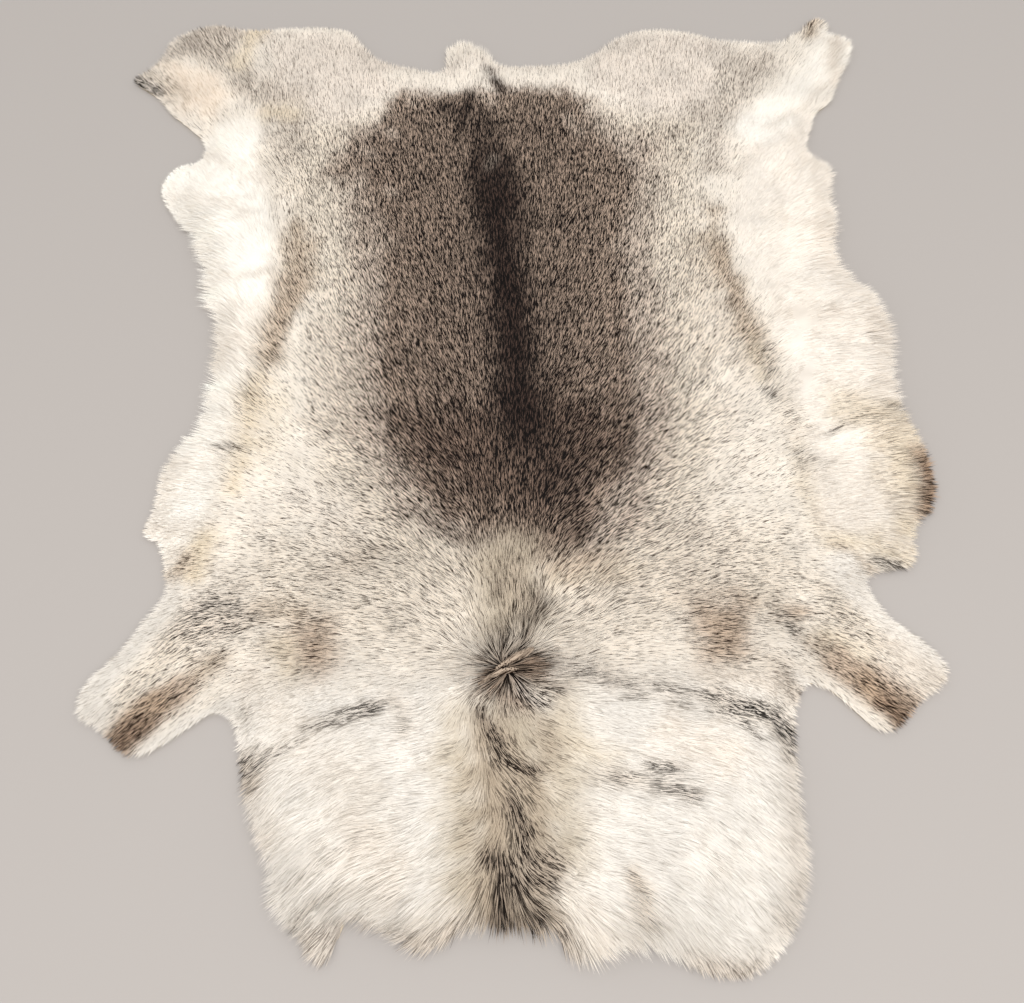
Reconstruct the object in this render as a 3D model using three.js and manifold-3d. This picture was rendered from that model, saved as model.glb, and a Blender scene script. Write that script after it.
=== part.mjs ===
// A reindeer hide laid flat, fur up: one solid with the outline of the whole hide, its four leg ends,
// its tail and its long neck mane, flat underneath and domed on top by the depth of the coat.
// Millimetres. +Z is up out of the fur, +Y runs from the neck to the tail, +X is to the right of that.
import * as THREE from "three";
import { mergeVertices } from "three/addons/utils/BufferGeometryUtils.js";
import Module from "manifold-3d";

// Driving dimensions
const HIDE_LENGTH = 1296; // neck hem to the hind toe, along Y
const HIDE_WIDTH = 1047; // hind toe to hind toe, along X
const EDGE_DEPTH = 5; // of the fur at the very edge
const SKIRT = 55; // how far in from the edge the coat rises to its full depth
const BACK_DEPTH = 20; // of the coat over the back
const LOWEST_DEPTH = 4; // in the deepest crease
const CELL = 21; // of the grid that carries the relief
const EDGE_STEP = 15; // between points along the edge
const PRISM_HEIGHT = 4 * BACK_DEPTH; // of the upright outline that the relief is cut with

// The edge of the fur, in eight stretches that run clockwise as seen from above. Columns: x, y.
const RUMP = [
  [-158, 570], [-112, 551], [-67, 543], [-62, 588], [-45, 603], [-24, 598],
  [-3, 584], [18, 553], [66, 550], [120, 555], [152, 573], [177, 597],
];
const RIGHT_HIND_LEG = [
  [204, 616], [248, 625], [300, 615], [340, 598], [430, 592], [446, 607], [460, 613],
  [472, 632], [491, 644], [503, 633], [501, 604], [522, 603], [532, 585], [524, 558],
  [498, 505], [476, 460], [456, 443], [440, 405], [429, 370],
];
const RIGHT_FLANK = [
  [437, 354], [455, 342], [448, 278], [453, 250], [440, 180], [455, 147], [475, 120],
  [486, 72], [476, -5], [476, -60], [484, -110], [483, -158], [471, -184], [452, -200],
  [444, -224], [446, -240], [428, -251], [400, -256],
];
const RIGHT_FORELEG = [
  [387, -262], [402, -302], [442, -342], [453, -368], [444, -381], [412, -402],
  [396, -419], [376, -430], [362, -424], [342, -401], [320, -381], [303, -378],
];
const NECK = [
  [290, -398], [282, -438], [279, -490], [276, -552], [262, -586], [246, -614], [222, -636],
  [195, -643], [160, -634], [128, -624], [98, -624], [72, -631], [46, -624], [18, -606],
  [-15, -602], [-50, -607], [-82, -614], [-110, -608], [-134, -596], [-152, -594], [-164, -610],
  [-177, -623], [-186, -607], [-206, -590], [-225, -573], [-230, -545], [-250, -498], [-266, -432],
];
const LEFT_FORELEG = [
  [-277, -396], [-294, -389], [-320, -404], [-350, -424], [-374, -431], [-392, -418], [-410, -401],
  [-430, -391], [-437, -372], [-428, -348], [-400, -317], [-380, -284], [-362, -253],
];
const LEFT_FLANK = [
  [-366, -230], [-376, -197], [-396, -189], [-386, -152], [-381, -108], [-371, -79], [-352, -47],
  [-348, -8], [-350, 90], [-366, 128], [-379, 192], [-397, 246], [-432, 298], [-442, 336],
  [-427, 365], [-392, 379],
];
const LEFT_HIND_LEG = [
  [-393, 407], [-420, 441], [-447, 468], [-465, 496], [-515, 545], [-496, 552], [-470, 592],
  [-464, 622], [-436, 643], [-402, 654], [-356, 642], [-290, 645], [-232, 643], [-202, 633], [-183, 603],
];

// Where the coat is deeper or shallower than over the back. Columns: x, y, halfWidth, halfLength, rise.
const COAT = [
  { name: "mane", x: 0, y: -500, halfWidth: 250, halfLength: 120, rise: 20 },
  { name: "mane hem", x: 120, y: -570, halfWidth: 130, halfLength: 60, rise: 5 },
  { name: "shoulders", x: 10, y: -320, halfWidth: 230, halfLength: 90, rise: 6 },
  { name: "left belly", x: -345, y: 190, halfWidth: 55, halfLength: 170, rise: 8 },
  { name: "right belly", x: 400, y: 20, halfWidth: 60, halfLength: 260, rise: 9 },
  { name: "left foreleg", x: -345, y: -350, halfWidth: 70, halfLength: 60, rise: -7 },
  { name: "right foreleg", x: 365, y: -355, halfWidth: 65, halfLength: 60, rise: -7 },
  { name: "left hind leg", x: -400, y: 550, halfWidth: 110, halfLength: 90, rise: -8 },
  { name: "right hind leg", x: 420, y: 540, halfWidth: 110, halfLength: 90, rise: -8 },
  { name: "tail", x: -25, y: 580, halfWidth: 45, halfLength: 40, rise: 8 },
];

// Soft ridges (rise above 0) and creases (below 0), each along a straight run.
const FOLDS = [
  { name: "whorl pinch", x1: -35, y1: -362, x2: 30, y2: -335, spread: 16, rise: 9 },
  { name: "above the whorl", x1: -45, y1: -318, x2: 45, y2: -300, spread: 20, rise: -6 },
  { name: "mane parting", x1: -12, y1: -400, x2: 5, y2: -590, spread: 20, rise: -8 },
  { name: "left mane step", x1: -220, y1: -404, x2: -110, y2: -380, spread: 20, rise: -8 },
  { name: "right mane step", x1: 90, y1: -366, x2: 265, y2: -412, spread: 22, rise: -9 },
  { name: "right mane fold", x1: 90, y1: -455, x2: 190, y2: -480, spread: 20, rise: -6 },
  { name: "right mane crest", x1: 120, y1: -425, x2: 230, y2: -450, spread: 26, rise: 6 },
  { name: "mane hem roll", x1: 60, y1: -600, x2: 200, y2: -612, spread: 22, rise: 6 },
  { name: "left flank step", x1: -278, y1: 270, x2: -275, y2: 50, spread: 18, rise: -5 },
  { name: "left belly fold", x1: -300, y1: 175, x2: -345, y2: 130, spread: 18, rise: -6 },
  { name: "left groin fold", x1: -395, y1: 335, x2: -305, y2: 295, spread: 20, rise: -6 },
  { name: "left thigh fold", x1: -400, y1: 430, x2: -345, y2: 400, spread: 20, rise: 6 },
  { name: "right flank step", x1: 290, y1: 210, x2: 325, y2: -20, spread: 18, rise: -5 },
  { name: "right groin fold", x1: 345, y1: 310, x2: 425, y2: 430, spread: 20, rise: 6 },
  { name: "right belly fold", x1: 380, y1: 80, x2: 470, y2: 65, spread: 22, rise: 6 },
  { name: "right lower fold", x1: 400, y1: 25, x2: 465, y2: 20, spread: 16, rise: -6 },
  { name: "elbow fold", x1: 350, y1: -215, x2: 420, y2: -245, spread: 18, rise: -6 },
  { name: "left elbow fold", x1: -330, y1: -245, x2: -300, y2: -225, spread: 18, rise: -5 },
  { name: "right hind crease", x1: 316, y1: 605, x2: 322, y2: 430, spread: 12, rise: -4 },
];

const FUR = new THREE.MeshStandardMaterial({ color: "#b3a696", roughness: 0.95, metalness: 0 });

/** Puts the middle of the outline's box on the origin and gives the box its driving length and width. */
function fitToSize(points) {
  const box = new THREE.Box2().setFromPoints(points);
  const middle = box.getCenter(new THREE.Vector2());
  const size = box.getSize(new THREE.Vector2());
  const scale = new THREE.Vector2(HIDE_WIDTH / size.x, HIDE_LENGTH / size.y);
  return points.map((point) => point.clone().sub(middle).multiply(scale));
}

/** The closed edge of the hide: a smooth curve through the eight stretches, in even steps. */
function edgePoints() {
  const stretches = [
    RUMP, RIGHT_HIND_LEG, RIGHT_FLANK, RIGHT_FORELEG, NECK, LEFT_FORELEG, LEFT_FLANK, LEFT_HIND_LEG,
  ];
  const knots = stretches.flat().map(([x, y]) => new THREE.Vector3(x, y, 0));
  const curve = new THREE.CatmullRomCurve3(knots, true, "centripetal");
  const count = Math.round(curve.getLength() / EDGE_STEP);
  const points = curve.getSpacedPoints(count).slice(0, count);
  return fitToSize(points.map((point) => new THREE.Vector2(point.x, point.y)));
}

/** Shortest distance from a place to a straight run. */
function distanceToRun(x, y, x1, y1, x2, y2) {
  const length2 = (x2 - x1) ** 2 + (y2 - y1) ** 2;
  const along = ((x - x1) * (x2 - x1) + (y - y1) * (y2 - y1)) / length2;
  const t = THREE.MathUtils.clamp(along, 0, 1);
  return Math.hypot(x - x1 - t * (x2 - x1), y - y1 - t * (y2 - y1));
}

/** Distance from a place inside the hide to its edge, and 0 outside. */
function insetOf(x, y, edge) {
  let nearest = Infinity;
  let inside = false;
  edge.forEach((a, i) => {
    const b = edge[(i + 1) % edge.length];
    nearest = Math.min(nearest, distanceToRun(x, y, a.x, a.y, b.x, b.y));
    const crosses = a.y > y !== b.y > y && x < a.x + ((y - a.y) * (b.x - a.x)) / (b.y - a.y);
    if (crosses) inside = !inside;
  });
  return inside ? nearest : 0;
}

/** Depth of the coat at a place: the zones, then the folds, brought down to the edge. */
function coatDepth(x, y, edge) {
  let depth = BACK_DEPTH;
  for (const zone of COAT) {
    const reach = Math.hypot((x - zone.x) / zone.halfWidth, (y - zone.y) / zone.halfLength);
    depth += zone.rise * Math.exp(-(reach ** 4));
  }
  for (const fold of FOLDS) {
    const away = distanceToRun(x, y, fold.x1, fold.y1, fold.x2, fold.y2) / fold.spread;
    depth += fold.rise * Math.exp(-(away ** 2));
  }
  const rise = THREE.MathUtils.smootherstep(insetOf(x, y, edge), -SKIRT, SKIRT) * 2 - 1;
  return Math.max(LOWEST_DEPTH, EDGE_DEPTH + (depth - EDGE_DEPTH) * rise);
}

/** A block whose top is the depth of the coat, on a square grid, and whose base is below the floor. */
function reliefBlock(edge) {
  const across = Math.ceil(HIDE_WIDTH / CELL) + 2;
  const along = Math.ceil(HIDE_LENGTH / CELL) + 2;
  const geometry = new THREE.BoxGeometry(across * CELL, along * CELL, 1, across, along, 1);
  geometry.deleteAttribute("normal");
  geometry.deleteAttribute("uv");
  const block = mergeVertices(geometry);
  const place = block.attributes.position;
  for (let i = 0; i < place.count; i++) {
    const onTop = place.getZ(i) > 0;
    place.setZ(i, onTop ? coatDepth(place.getX(i), place.getY(i), edge) : -BACK_DEPTH);
  }
  return block;
}

/** The outline as an upright prism, from the floor to above any fur. */
function outlinePrism(edge) {
  const geometry = new THREE.ExtrudeGeometry(new THREE.Shape(edge), {
    depth: PRISM_HEIGHT,
    bevelEnabled: false,
  });
  geometry.deleteAttribute("normal");
  geometry.deleteAttribute("uv");
  return mergeVertices(geometry);
}

/** What two closed meshes share, as one closed mesh. */
function sharedSolid(wasm, first, second) {
  const [a, b] = [first, second].map(
    (geometry) =>
      new wasm.Manifold(
        new wasm.Mesh({
          numProp: 3,
          vertProperties: geometry.attributes.position.array,
          triVerts: new Uint32Array(geometry.index.array),
        }),
      ),
  );
  const { vertProperties, triVerts } = a.intersect(b).getMesh();
  const geometry = new THREE.BufferGeometry();
  geometry.setAttribute("position", new THREE.BufferAttribute(vertProperties, 3));
  geometry.setIndex(new THREE.BufferAttribute(triVerts, 1));
  geometry.computeVertexNormals();
  return geometry;
}

const wasm = await Module();
wasm.setup();

const edge = edgePoints();
const hide = new THREE.Mesh(sharedSolid(wasm, outlinePrism(edge), reliefBlock(edge)), FUR);
hide.name = "hide";

const group = new THREE.Group();
group.add(hide);

export default group;
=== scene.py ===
# %% [markdown]
# # A reindeer hide, fur up
# A reindeer hide is one tanned skin with all of its winter hair left on. Three layers make it here: the
# pale suede skin underneath, a dense bed of underfur on it, and the guard hairs that give it its look.
# The CAD solid gives the outline and how deep the coat is at each place, so both are read from it.

# %% Load the frame
import math

import bmesh
import bpy
import numpy as np
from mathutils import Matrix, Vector
from mathutils.bvhtree import BVHTree


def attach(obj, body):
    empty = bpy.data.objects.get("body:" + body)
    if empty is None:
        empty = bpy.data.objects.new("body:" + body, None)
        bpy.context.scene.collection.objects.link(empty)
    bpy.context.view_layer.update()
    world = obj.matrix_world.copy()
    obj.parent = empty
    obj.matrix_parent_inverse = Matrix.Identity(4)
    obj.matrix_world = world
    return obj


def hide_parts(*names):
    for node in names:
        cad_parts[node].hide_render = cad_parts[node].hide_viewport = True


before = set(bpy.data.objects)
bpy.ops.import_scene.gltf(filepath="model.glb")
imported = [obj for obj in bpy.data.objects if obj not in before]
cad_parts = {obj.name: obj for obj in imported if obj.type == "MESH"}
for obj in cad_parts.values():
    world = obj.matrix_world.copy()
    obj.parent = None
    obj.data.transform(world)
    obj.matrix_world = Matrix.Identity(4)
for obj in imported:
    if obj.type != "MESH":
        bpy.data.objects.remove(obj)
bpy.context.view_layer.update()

MM = 0.001
scene = bpy.context.scene

# %% [markdown]
# ## Small helpers
# Colours are written as sRGB hex, as a colour picker shows them, and shaders want linear light, so one
# function converts them. One more adds a node to any tree with its settings and its links.

# %% Colour and node helpers
def linear(hex_colour):
    """Linear red, green and blue of an sRGB hex colour."""
    channels = np.array([int(hex_colour[i : i + 2], 16) for i in (1, 3, 5)]) / 255
    return np.where(channels <= 0.04045, channels / 12.92, ((channels + 0.055) / 1.055) ** 2.4)


def rgba(hex_colour):
    return (*linear(hex_colour), 1.0)


def add_node(tree, kind, inputs=None, **settings):
    """Adds a node. An input's value is a number, a colour, or the output socket that feeds it."""
    node = tree.nodes.new(kind)
    for name, value in settings.items():
        setattr(node, name, value)
    for key, value in (inputs or {}).items():
        if isinstance(value, bpy.types.NodeSocket):
            tree.links.new(value, node.inputs[key])
        else:
            node.inputs[key].default_value = value
    return node


def smooth_step(value, low, high):
    """0 below low, 1 above high, and a soft S between them."""
    t = np.clip((value - low) / (high - low), 0, 1)
    return t * t * (3 - 2 * t)


LATTICE = 128


def mottle(x, y, size, seed):
    """Soft random patches about size across, from -1 to 1."""
    lattice = np.random.default_rng(seed).uniform(-1, 1, (LATTICE, LATTICE))
    u, v = x / size + LATTICE / 2, y / size + LATTICE / 2
    i, j = np.floor(u).astype(int), np.floor(v).astype(int)
    s, t = smooth_step(u - i, 0, 1), smooth_step(v - j, 0, 1)

    def pick(di, dj):
        return lattice[(i + di) % LATTICE, (j + dj) % LATTICE]

    low = pick(0, 0) * (1 - s) + pick(1, 0) * s
    high = pick(0, 1) * (1 - s) + pick(1, 1) * s
    return low * (1 - t) + high * t


# %% [markdown]
# ## What the solid says
# The underside of the solid is flat, so its rim is the outer edge of the fur. The top is how high the
# lying hair reaches, and a ray dropped on it from above reads that at any place. All of the planning
# below is done in millimetres.

# %% Read the outline and the depth of the coat
TOUCHING = 0.01 * MM # corners closer than this are one
PLACES_AT_ONCE = 4000 # keeps the memory small

solid = bmesh.new()
solid.from_mesh(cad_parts["hide"].data)
bmesh.ops.remove_doubles(solid, verts=solid.verts, dist=TOUCHING)
solid_tree = BVHTree.FromBMesh(solid)


def rim_of_underside(form):
    """Corners of the flat underside in order round its edge, in millimetres."""
    under = {face for face in form.faces if max(v.co.z for v in face.verts) < TOUCHING}
    nextdoor = {}
    for edge in form.edges:
        if sum(face in under for face in edge.link_faces) == 1:
            a, b = edge.verts
            nextdoor.setdefault(a, []).append(b)
            nextdoor.setdefault(b, []).append(a)
    first = next(iter(nextdoor))
    loop, last = [first], None
    while len(loop) == 1 or loop[-1] is not first:
        step = next(v for v in nextdoor[loop[-1]] if v is not last)
        last = loop[-1]
        loop.append(step)
    return np.array([v.co.xy for v in loop[:-1]]) / MM


FUR_EDGE = rim_of_underside(solid)
LOW, HIGH = FUR_EDGE.min(0), FUR_EDGE.max(0)
print("Fur edge:", len(FUR_EDGE), "corners,", (HIGH - LOW).round(), "mm")


def edge_distance(x, y):
    """Millimetres from each place to the edge of the fur: plus inside it, minus outside."""
    flat = np.column_stack([x.ravel(), y.ravel()])
    start, stop = FUR_EDGE, np.roll(FUR_EDGE, -1, axis=0)
    run = stop - start
    run_length2 = (run**2).sum(1)
    out = np.empty(len(flat))
    for i in range(0, len(flat), PLACES_AT_ONCE):
        place = flat[i : i + PLACES_AT_ONCE, None]
        along = np.clip(((place - start) * run).sum(2) / run_length2, 0, 1)
        away = np.linalg.norm(place - start - along[..., None] * run, axis=2).min(1)
        px, py = place[..., 0], place[..., 1]
        spans = (start[:, 1] > py) != (stop[:, 1] > py)
        rise = np.where(run[:, 1] == 0, 1, run[:, 1])
        crossed = spans & (px < start[:, 0] + (py - start[:, 1]) * run[:, 0] / rise)
        out[i : i + PLACES_AT_ONCE] = np.where(crossed.sum(1) % 2 == 1, away, -away)
    return out.reshape(x.shape)


def coat_height(x, y):
    """How high the lying hair reaches over each place, in millimetres."""
    down = Vector((0, 0, -1))
    tops = []
    for px, py in zip(x, y):
        hit = solid_tree.ray_cast(Vector((px * MM, py * MM, 1)), down)[0]
        tops.append(hit.z / MM if hit else 0)
    return np.array(tops)


# %% [markdown]
# ## The coat, zone by zone
# A reindeer's hair is short and tight on the legs, a finger's width on the back, and long and loose on
# the belly and under the neck. Each row below sets the coat round one place and fades out past its half
# width and half length.

# %% Coat zones
ZONE_EDGE = 4 # a high power keeps a zone even inside and lets it fade near its border
# Columns: x, y, half_width, half_length (mm); hair: length (mm); rise: how steeply it leaves the skin;
# pull: how far the tips of a lock close up, 0 to 1; wave: how much the locks wander.
COAT = {
    "back": (0, 0, None, None, 8, 0.36, 0.18, 0.12),
    "shoulders": (0, -300, 260, 85, 13, 0.32, 0.20, 0.14),
    "withers": (0, -340, 62, 75, 19, 0.36, 0.60, 0.65),
    "mane": (0, -510, 270, 130, 48, 0.18, 0.45, 0.25),
    "mane centre": (0, -510, 45, 110, 26, 0.34, 0.40, 0.50),
    "hem left of the nape": (-76, -606, 52, 26, 30, 0.30, 0.30, 0.25),
    "left belly": (-350, 130, 62, 270, 36, 0.18, 0.45, 0.20),
    "right belly": (405, 60, 78, 290, 38, 0.18, 0.45, 0.20),
    "left foreleg": (-365, -350, 95, 90, 9, 0.24, 0.20, 0.08),
    "right foreleg": (375, -345, 95, 90, 9, 0.24, 0.20, 0.08),
    "rump": (0, 560, 320, 60, 13, 0.30, 0.20, 0.12),
    "left hind leg": (-420, 550, 90, 100, 14, 0.28, 0.30, 0.12),
    "right hind leg": (430, 550, 110, 110, 15, 0.28, 0.30, 0.12),
    "tail": (-30, 575, 32, 40, 24, 0.32, 0.40, 0.20),
}


def coat_at(x, y):
    """Hair length in millimetres, rise, pull and wave at each place."""
    blend = None
    for cx, cy, half_width, half_length, *coat in COAT.values():
        coat = np.array(coat, float)[:, None]
        if blend is None:
            blend = np.repeat(coat, len(x), axis=1)
            continue
        reach = np.hypot((x - cx) / half_width, (y - cy) / half_length)
        blend += (coat - blend) * np.exp(-(reach**ZONE_EDGE))
    return blend


# %% [markdown]
# ## The way the hair lies
# Hair leaves a whorl between the shoulders. Behind it the coat runs to the tail and leans out to the
# sides, and in front of it the mane runs the other way, down the neck. It is easiest to comb this one by
# one: each row gives a place and the angle at which the hair lies there, and the rest is blended.

# %% Comb
# Columns: x, y (mm), lies (degrees, 0 is +X and 90 is towards the tail). Both sides of the hide follow
# these rows, the left one as their mirror image.
COMB_BOTH_SIDES = [
    (0, 480, 90), (0, 300, 90), (0, 100, 90), (0, -80, 90), (0, -200, 92), (0, -280, 92), (90, 400, 84),
    (90, 250, 76), (95, 120, 68), (100, 0, 60), (90, -110, 52), (75, -200, 42), (65, -280, 34),
    (200, 380, 82), (200, 250, 74), (205, 120, 64), (205, 0, 50), (195, -110, 32), (170, -200, 20),
    (150, -270, 10), (140, -325, 2), (225, -290, 2), (230, -335, -6), (285, 250, 74), (285, 120, 60),
    (290, 0, 42), (285, -110, 22), (280, -200, 6), (300, -270, -8), (350, 330, 52), (370, 240, 25),
    (380, 130, 10), (370, 20, 5), (360, -80, 8), (370, -170, 4), (350, -230, -16), (100, 530, 88),
    (200, 570, 86), (280, 590, 82), (300, 470, 84), (360, 560, 68), (420, 590, 58), (480, 590, 52),
    (460, 520, 52), (400, 470, 56), (380, 400, 52), (310, -345, -26), (350, -375, -42), (395, -395, -44),
    (400, -345, -40), (375, -300, -36), (340, -400, -40),
]
# The neck isn't a mirror image.
COMB_NECK = [
    (-60, -378, 205), (-65, -430, 182), (-60, -465, 182), (-55, -495, 185), (-50, -522, 200),
    (-60, -550, 196), (-75, -585, 212), (-42, -568, 222), (-36, -592, 236), (-110, -385, 186),
    (-115, -430, 186), (-110, -480, 184), (-110, -530, 192), (-120, -575, 208), (-100, -606, 190),
    (-72, -610, 200), (-52, -600, 222), (-180, -388, 195), (-185, -430, 208), (-180, -480, 205),
    (-175, -540, 222), (-180, -595, 218), (-240, -390, 205), (-245, -430, 214), (-235, -480, 224),
    (-225, -560, 226), (-262, -480, 245), (-210, -620, 225), (-275, -450, 238), (-258, -520, 244),
    (-242, -560, 238), (-285, -430, 226), (-25, -408, -62), (-15, -425, -46), (-5, -452, -46),
    (12, -465, -30), (30, -440, -24), (40, -485, -14), (-12, -480, -78), (4, -500, -80), (20, -515, -50),
    (-16, -515, 250), (0, -530, -75), (8, -545, -8), (36, -550, -14), (20, -562, -22), (5, -572, -40),
    (-16, -572, 262), (-10, -588, -84), (10, -592, -70), (30, -604, -56), (45, -622, -54), (60, -380, -8),
    (60, -420, -15), (60, -540, -14), (60, -585, -34), (100, -375, -8), (100, -430, -10), (100, -470, -8),
    (100, -515, -14), (95, -560, -20), (110, -600, -45), (160, -385, -16), (165, -430, -16),
    (165, -480, -22), (170, -540, -40), (160, -600, -46), (225, -400, -28), (225, -450, -30),
    (230, -510, -48), (225, -570, -54), (215, -630, -52), (262, -430, -52), (265, -500, -62),
    (150, -640, -50), (80, -625, -48),
]
# Hair leaves the whorl on all sides.
COMB_WHORL = [
    (26, -339, 25), (8, -343, 22), (-12, -351, 28), (-20, -363, 196), (-36, -369, 200), (-30, -348, 142),
    (-46, -355, 174), (-40, -333, 130), (-22, -333, 112), (-8, -331, 94), (10, -323, 74), (28, -323, 46),
    (46, -341, 14), (20, -361, -6), (42, -367, -8), (16, -381, -32), (36, -391, -28), (2, -389, -60),
    (-12, -383, -78), (-26, -381, 252), (-40, -387, 262), (-36, -401, -72), (-54, -371, 196),
]
COMB_MIRRORED = [(-x, y, 180 - lies) for x, y, lies in COMB_BOTH_SIDES]
COMB_BLUR = 9 # mm, how far a row holds fully
COMB_FADE = 1.6 # how fast its hold fades past that


def comb_at(x, y):
    """Unit direction in which the hair lies at each place."""
    flow = np.zeros((2, len(x)))
    for cx, cy, lies in COMB_BOTH_SIDES + COMB_MIRRORED + COMB_NECK + COMB_WHORL:
        weight = 1 / (((x - cx) ** 2 + (y - cy) ** 2) + COMB_BLUR**2) ** COMB_FADE
        angle = math.radians(lies)
        flow += weight * np.array([[math.cos(angle)], [math.sin(angle)]])
    return flow / (np.linalg.norm(flow, axis=0) + 1e-9)


# %% [markdown]
# ## Markings
# Every hair is one of two colours of its patch: the ground colour, or the darker tick. The share of
# ticks decides whether a patch looks clean, peppered or dark. A marking is a soft band along a line of
# points, or an area inside them, and its border is broken up with small random patches, as real coat
# colours never end in a clean line. Some marks are not coat colour but painted shade: the soft folds,
# the shadow under the rolled hem and leg edges, and beside the ropes at the whorl.

# %% Coat colours
# Columns: ground, tick, share of ticked hairs.
COLOURS = {
    "cream": ("#f3ebe0", "#5a4b3e", 0.07),
    "peppered cream": ("#e9ddcd", "#33271d", 0.31),
    "rump": ("#ebe1d6", "#85786d", 0.17),
    "belly white": ("#f4ece2", "#e0d6ca", 0.10),
    "mane white": ("#ece6de", "#b2a99e", 0.10),
    "haze": ("#d9c8b8", "#1f140d", 0.51),
    "saddle": ("#bda795", "#130804", 0.675),
    "umber": ("#7f685a", "#0c0503", 0.81),
    "dorsal": ("#503e36", "#080201", 0.92),
    "flank brown": ("#d5c4b0", "#3f3023", 0.38),
    "brown": ("#d2bda8", "#2c1c12", 0.36),
    "dark brown": ("#cab096", "#26150a", 0.46),
    "whorl brown": ("#a88b74", "#24150a", 0.68),
    "grey": ("#d8ccbf", "#5d5146", 0.32),
    "tan": ("#eadcc5", "#5a4630", 0.13),
    "peach": ("#f7eadb", "#d0bca3", 0.16),
    "nape tan": ("#cbbeaa", "#4a3a2c", 0.09),
    "taupe": ("#c2b29e", "#2a2018", 0.36),
    "brown tuft": ("#b39a84", "#5a4231", 0.40),
    "nape brown": ("#bbaa95", "#33271d", 0.18),
    "smoke": ("#ddd2c5", "#1d1510", 0.42),
    "ticked": ("#e9ddcf", "#1c130d", 0.38),
    "ink": ("#d6ccc1", "#080402", 0.68),
    "nape smoke": ("#bfaf9e", "#1a120c", 0.46),
    "nape ink": ("#8f7e6f", "#080402", 0.72),
    "leg white": ("#fcf7ef", "#e6dccf", 0.05),
    # Painted shade of soft folds and creases, not a colour of the coat.
    "painted fold shade": ("#e6dcd0", "#cabfb2", 0.30),
}

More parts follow.
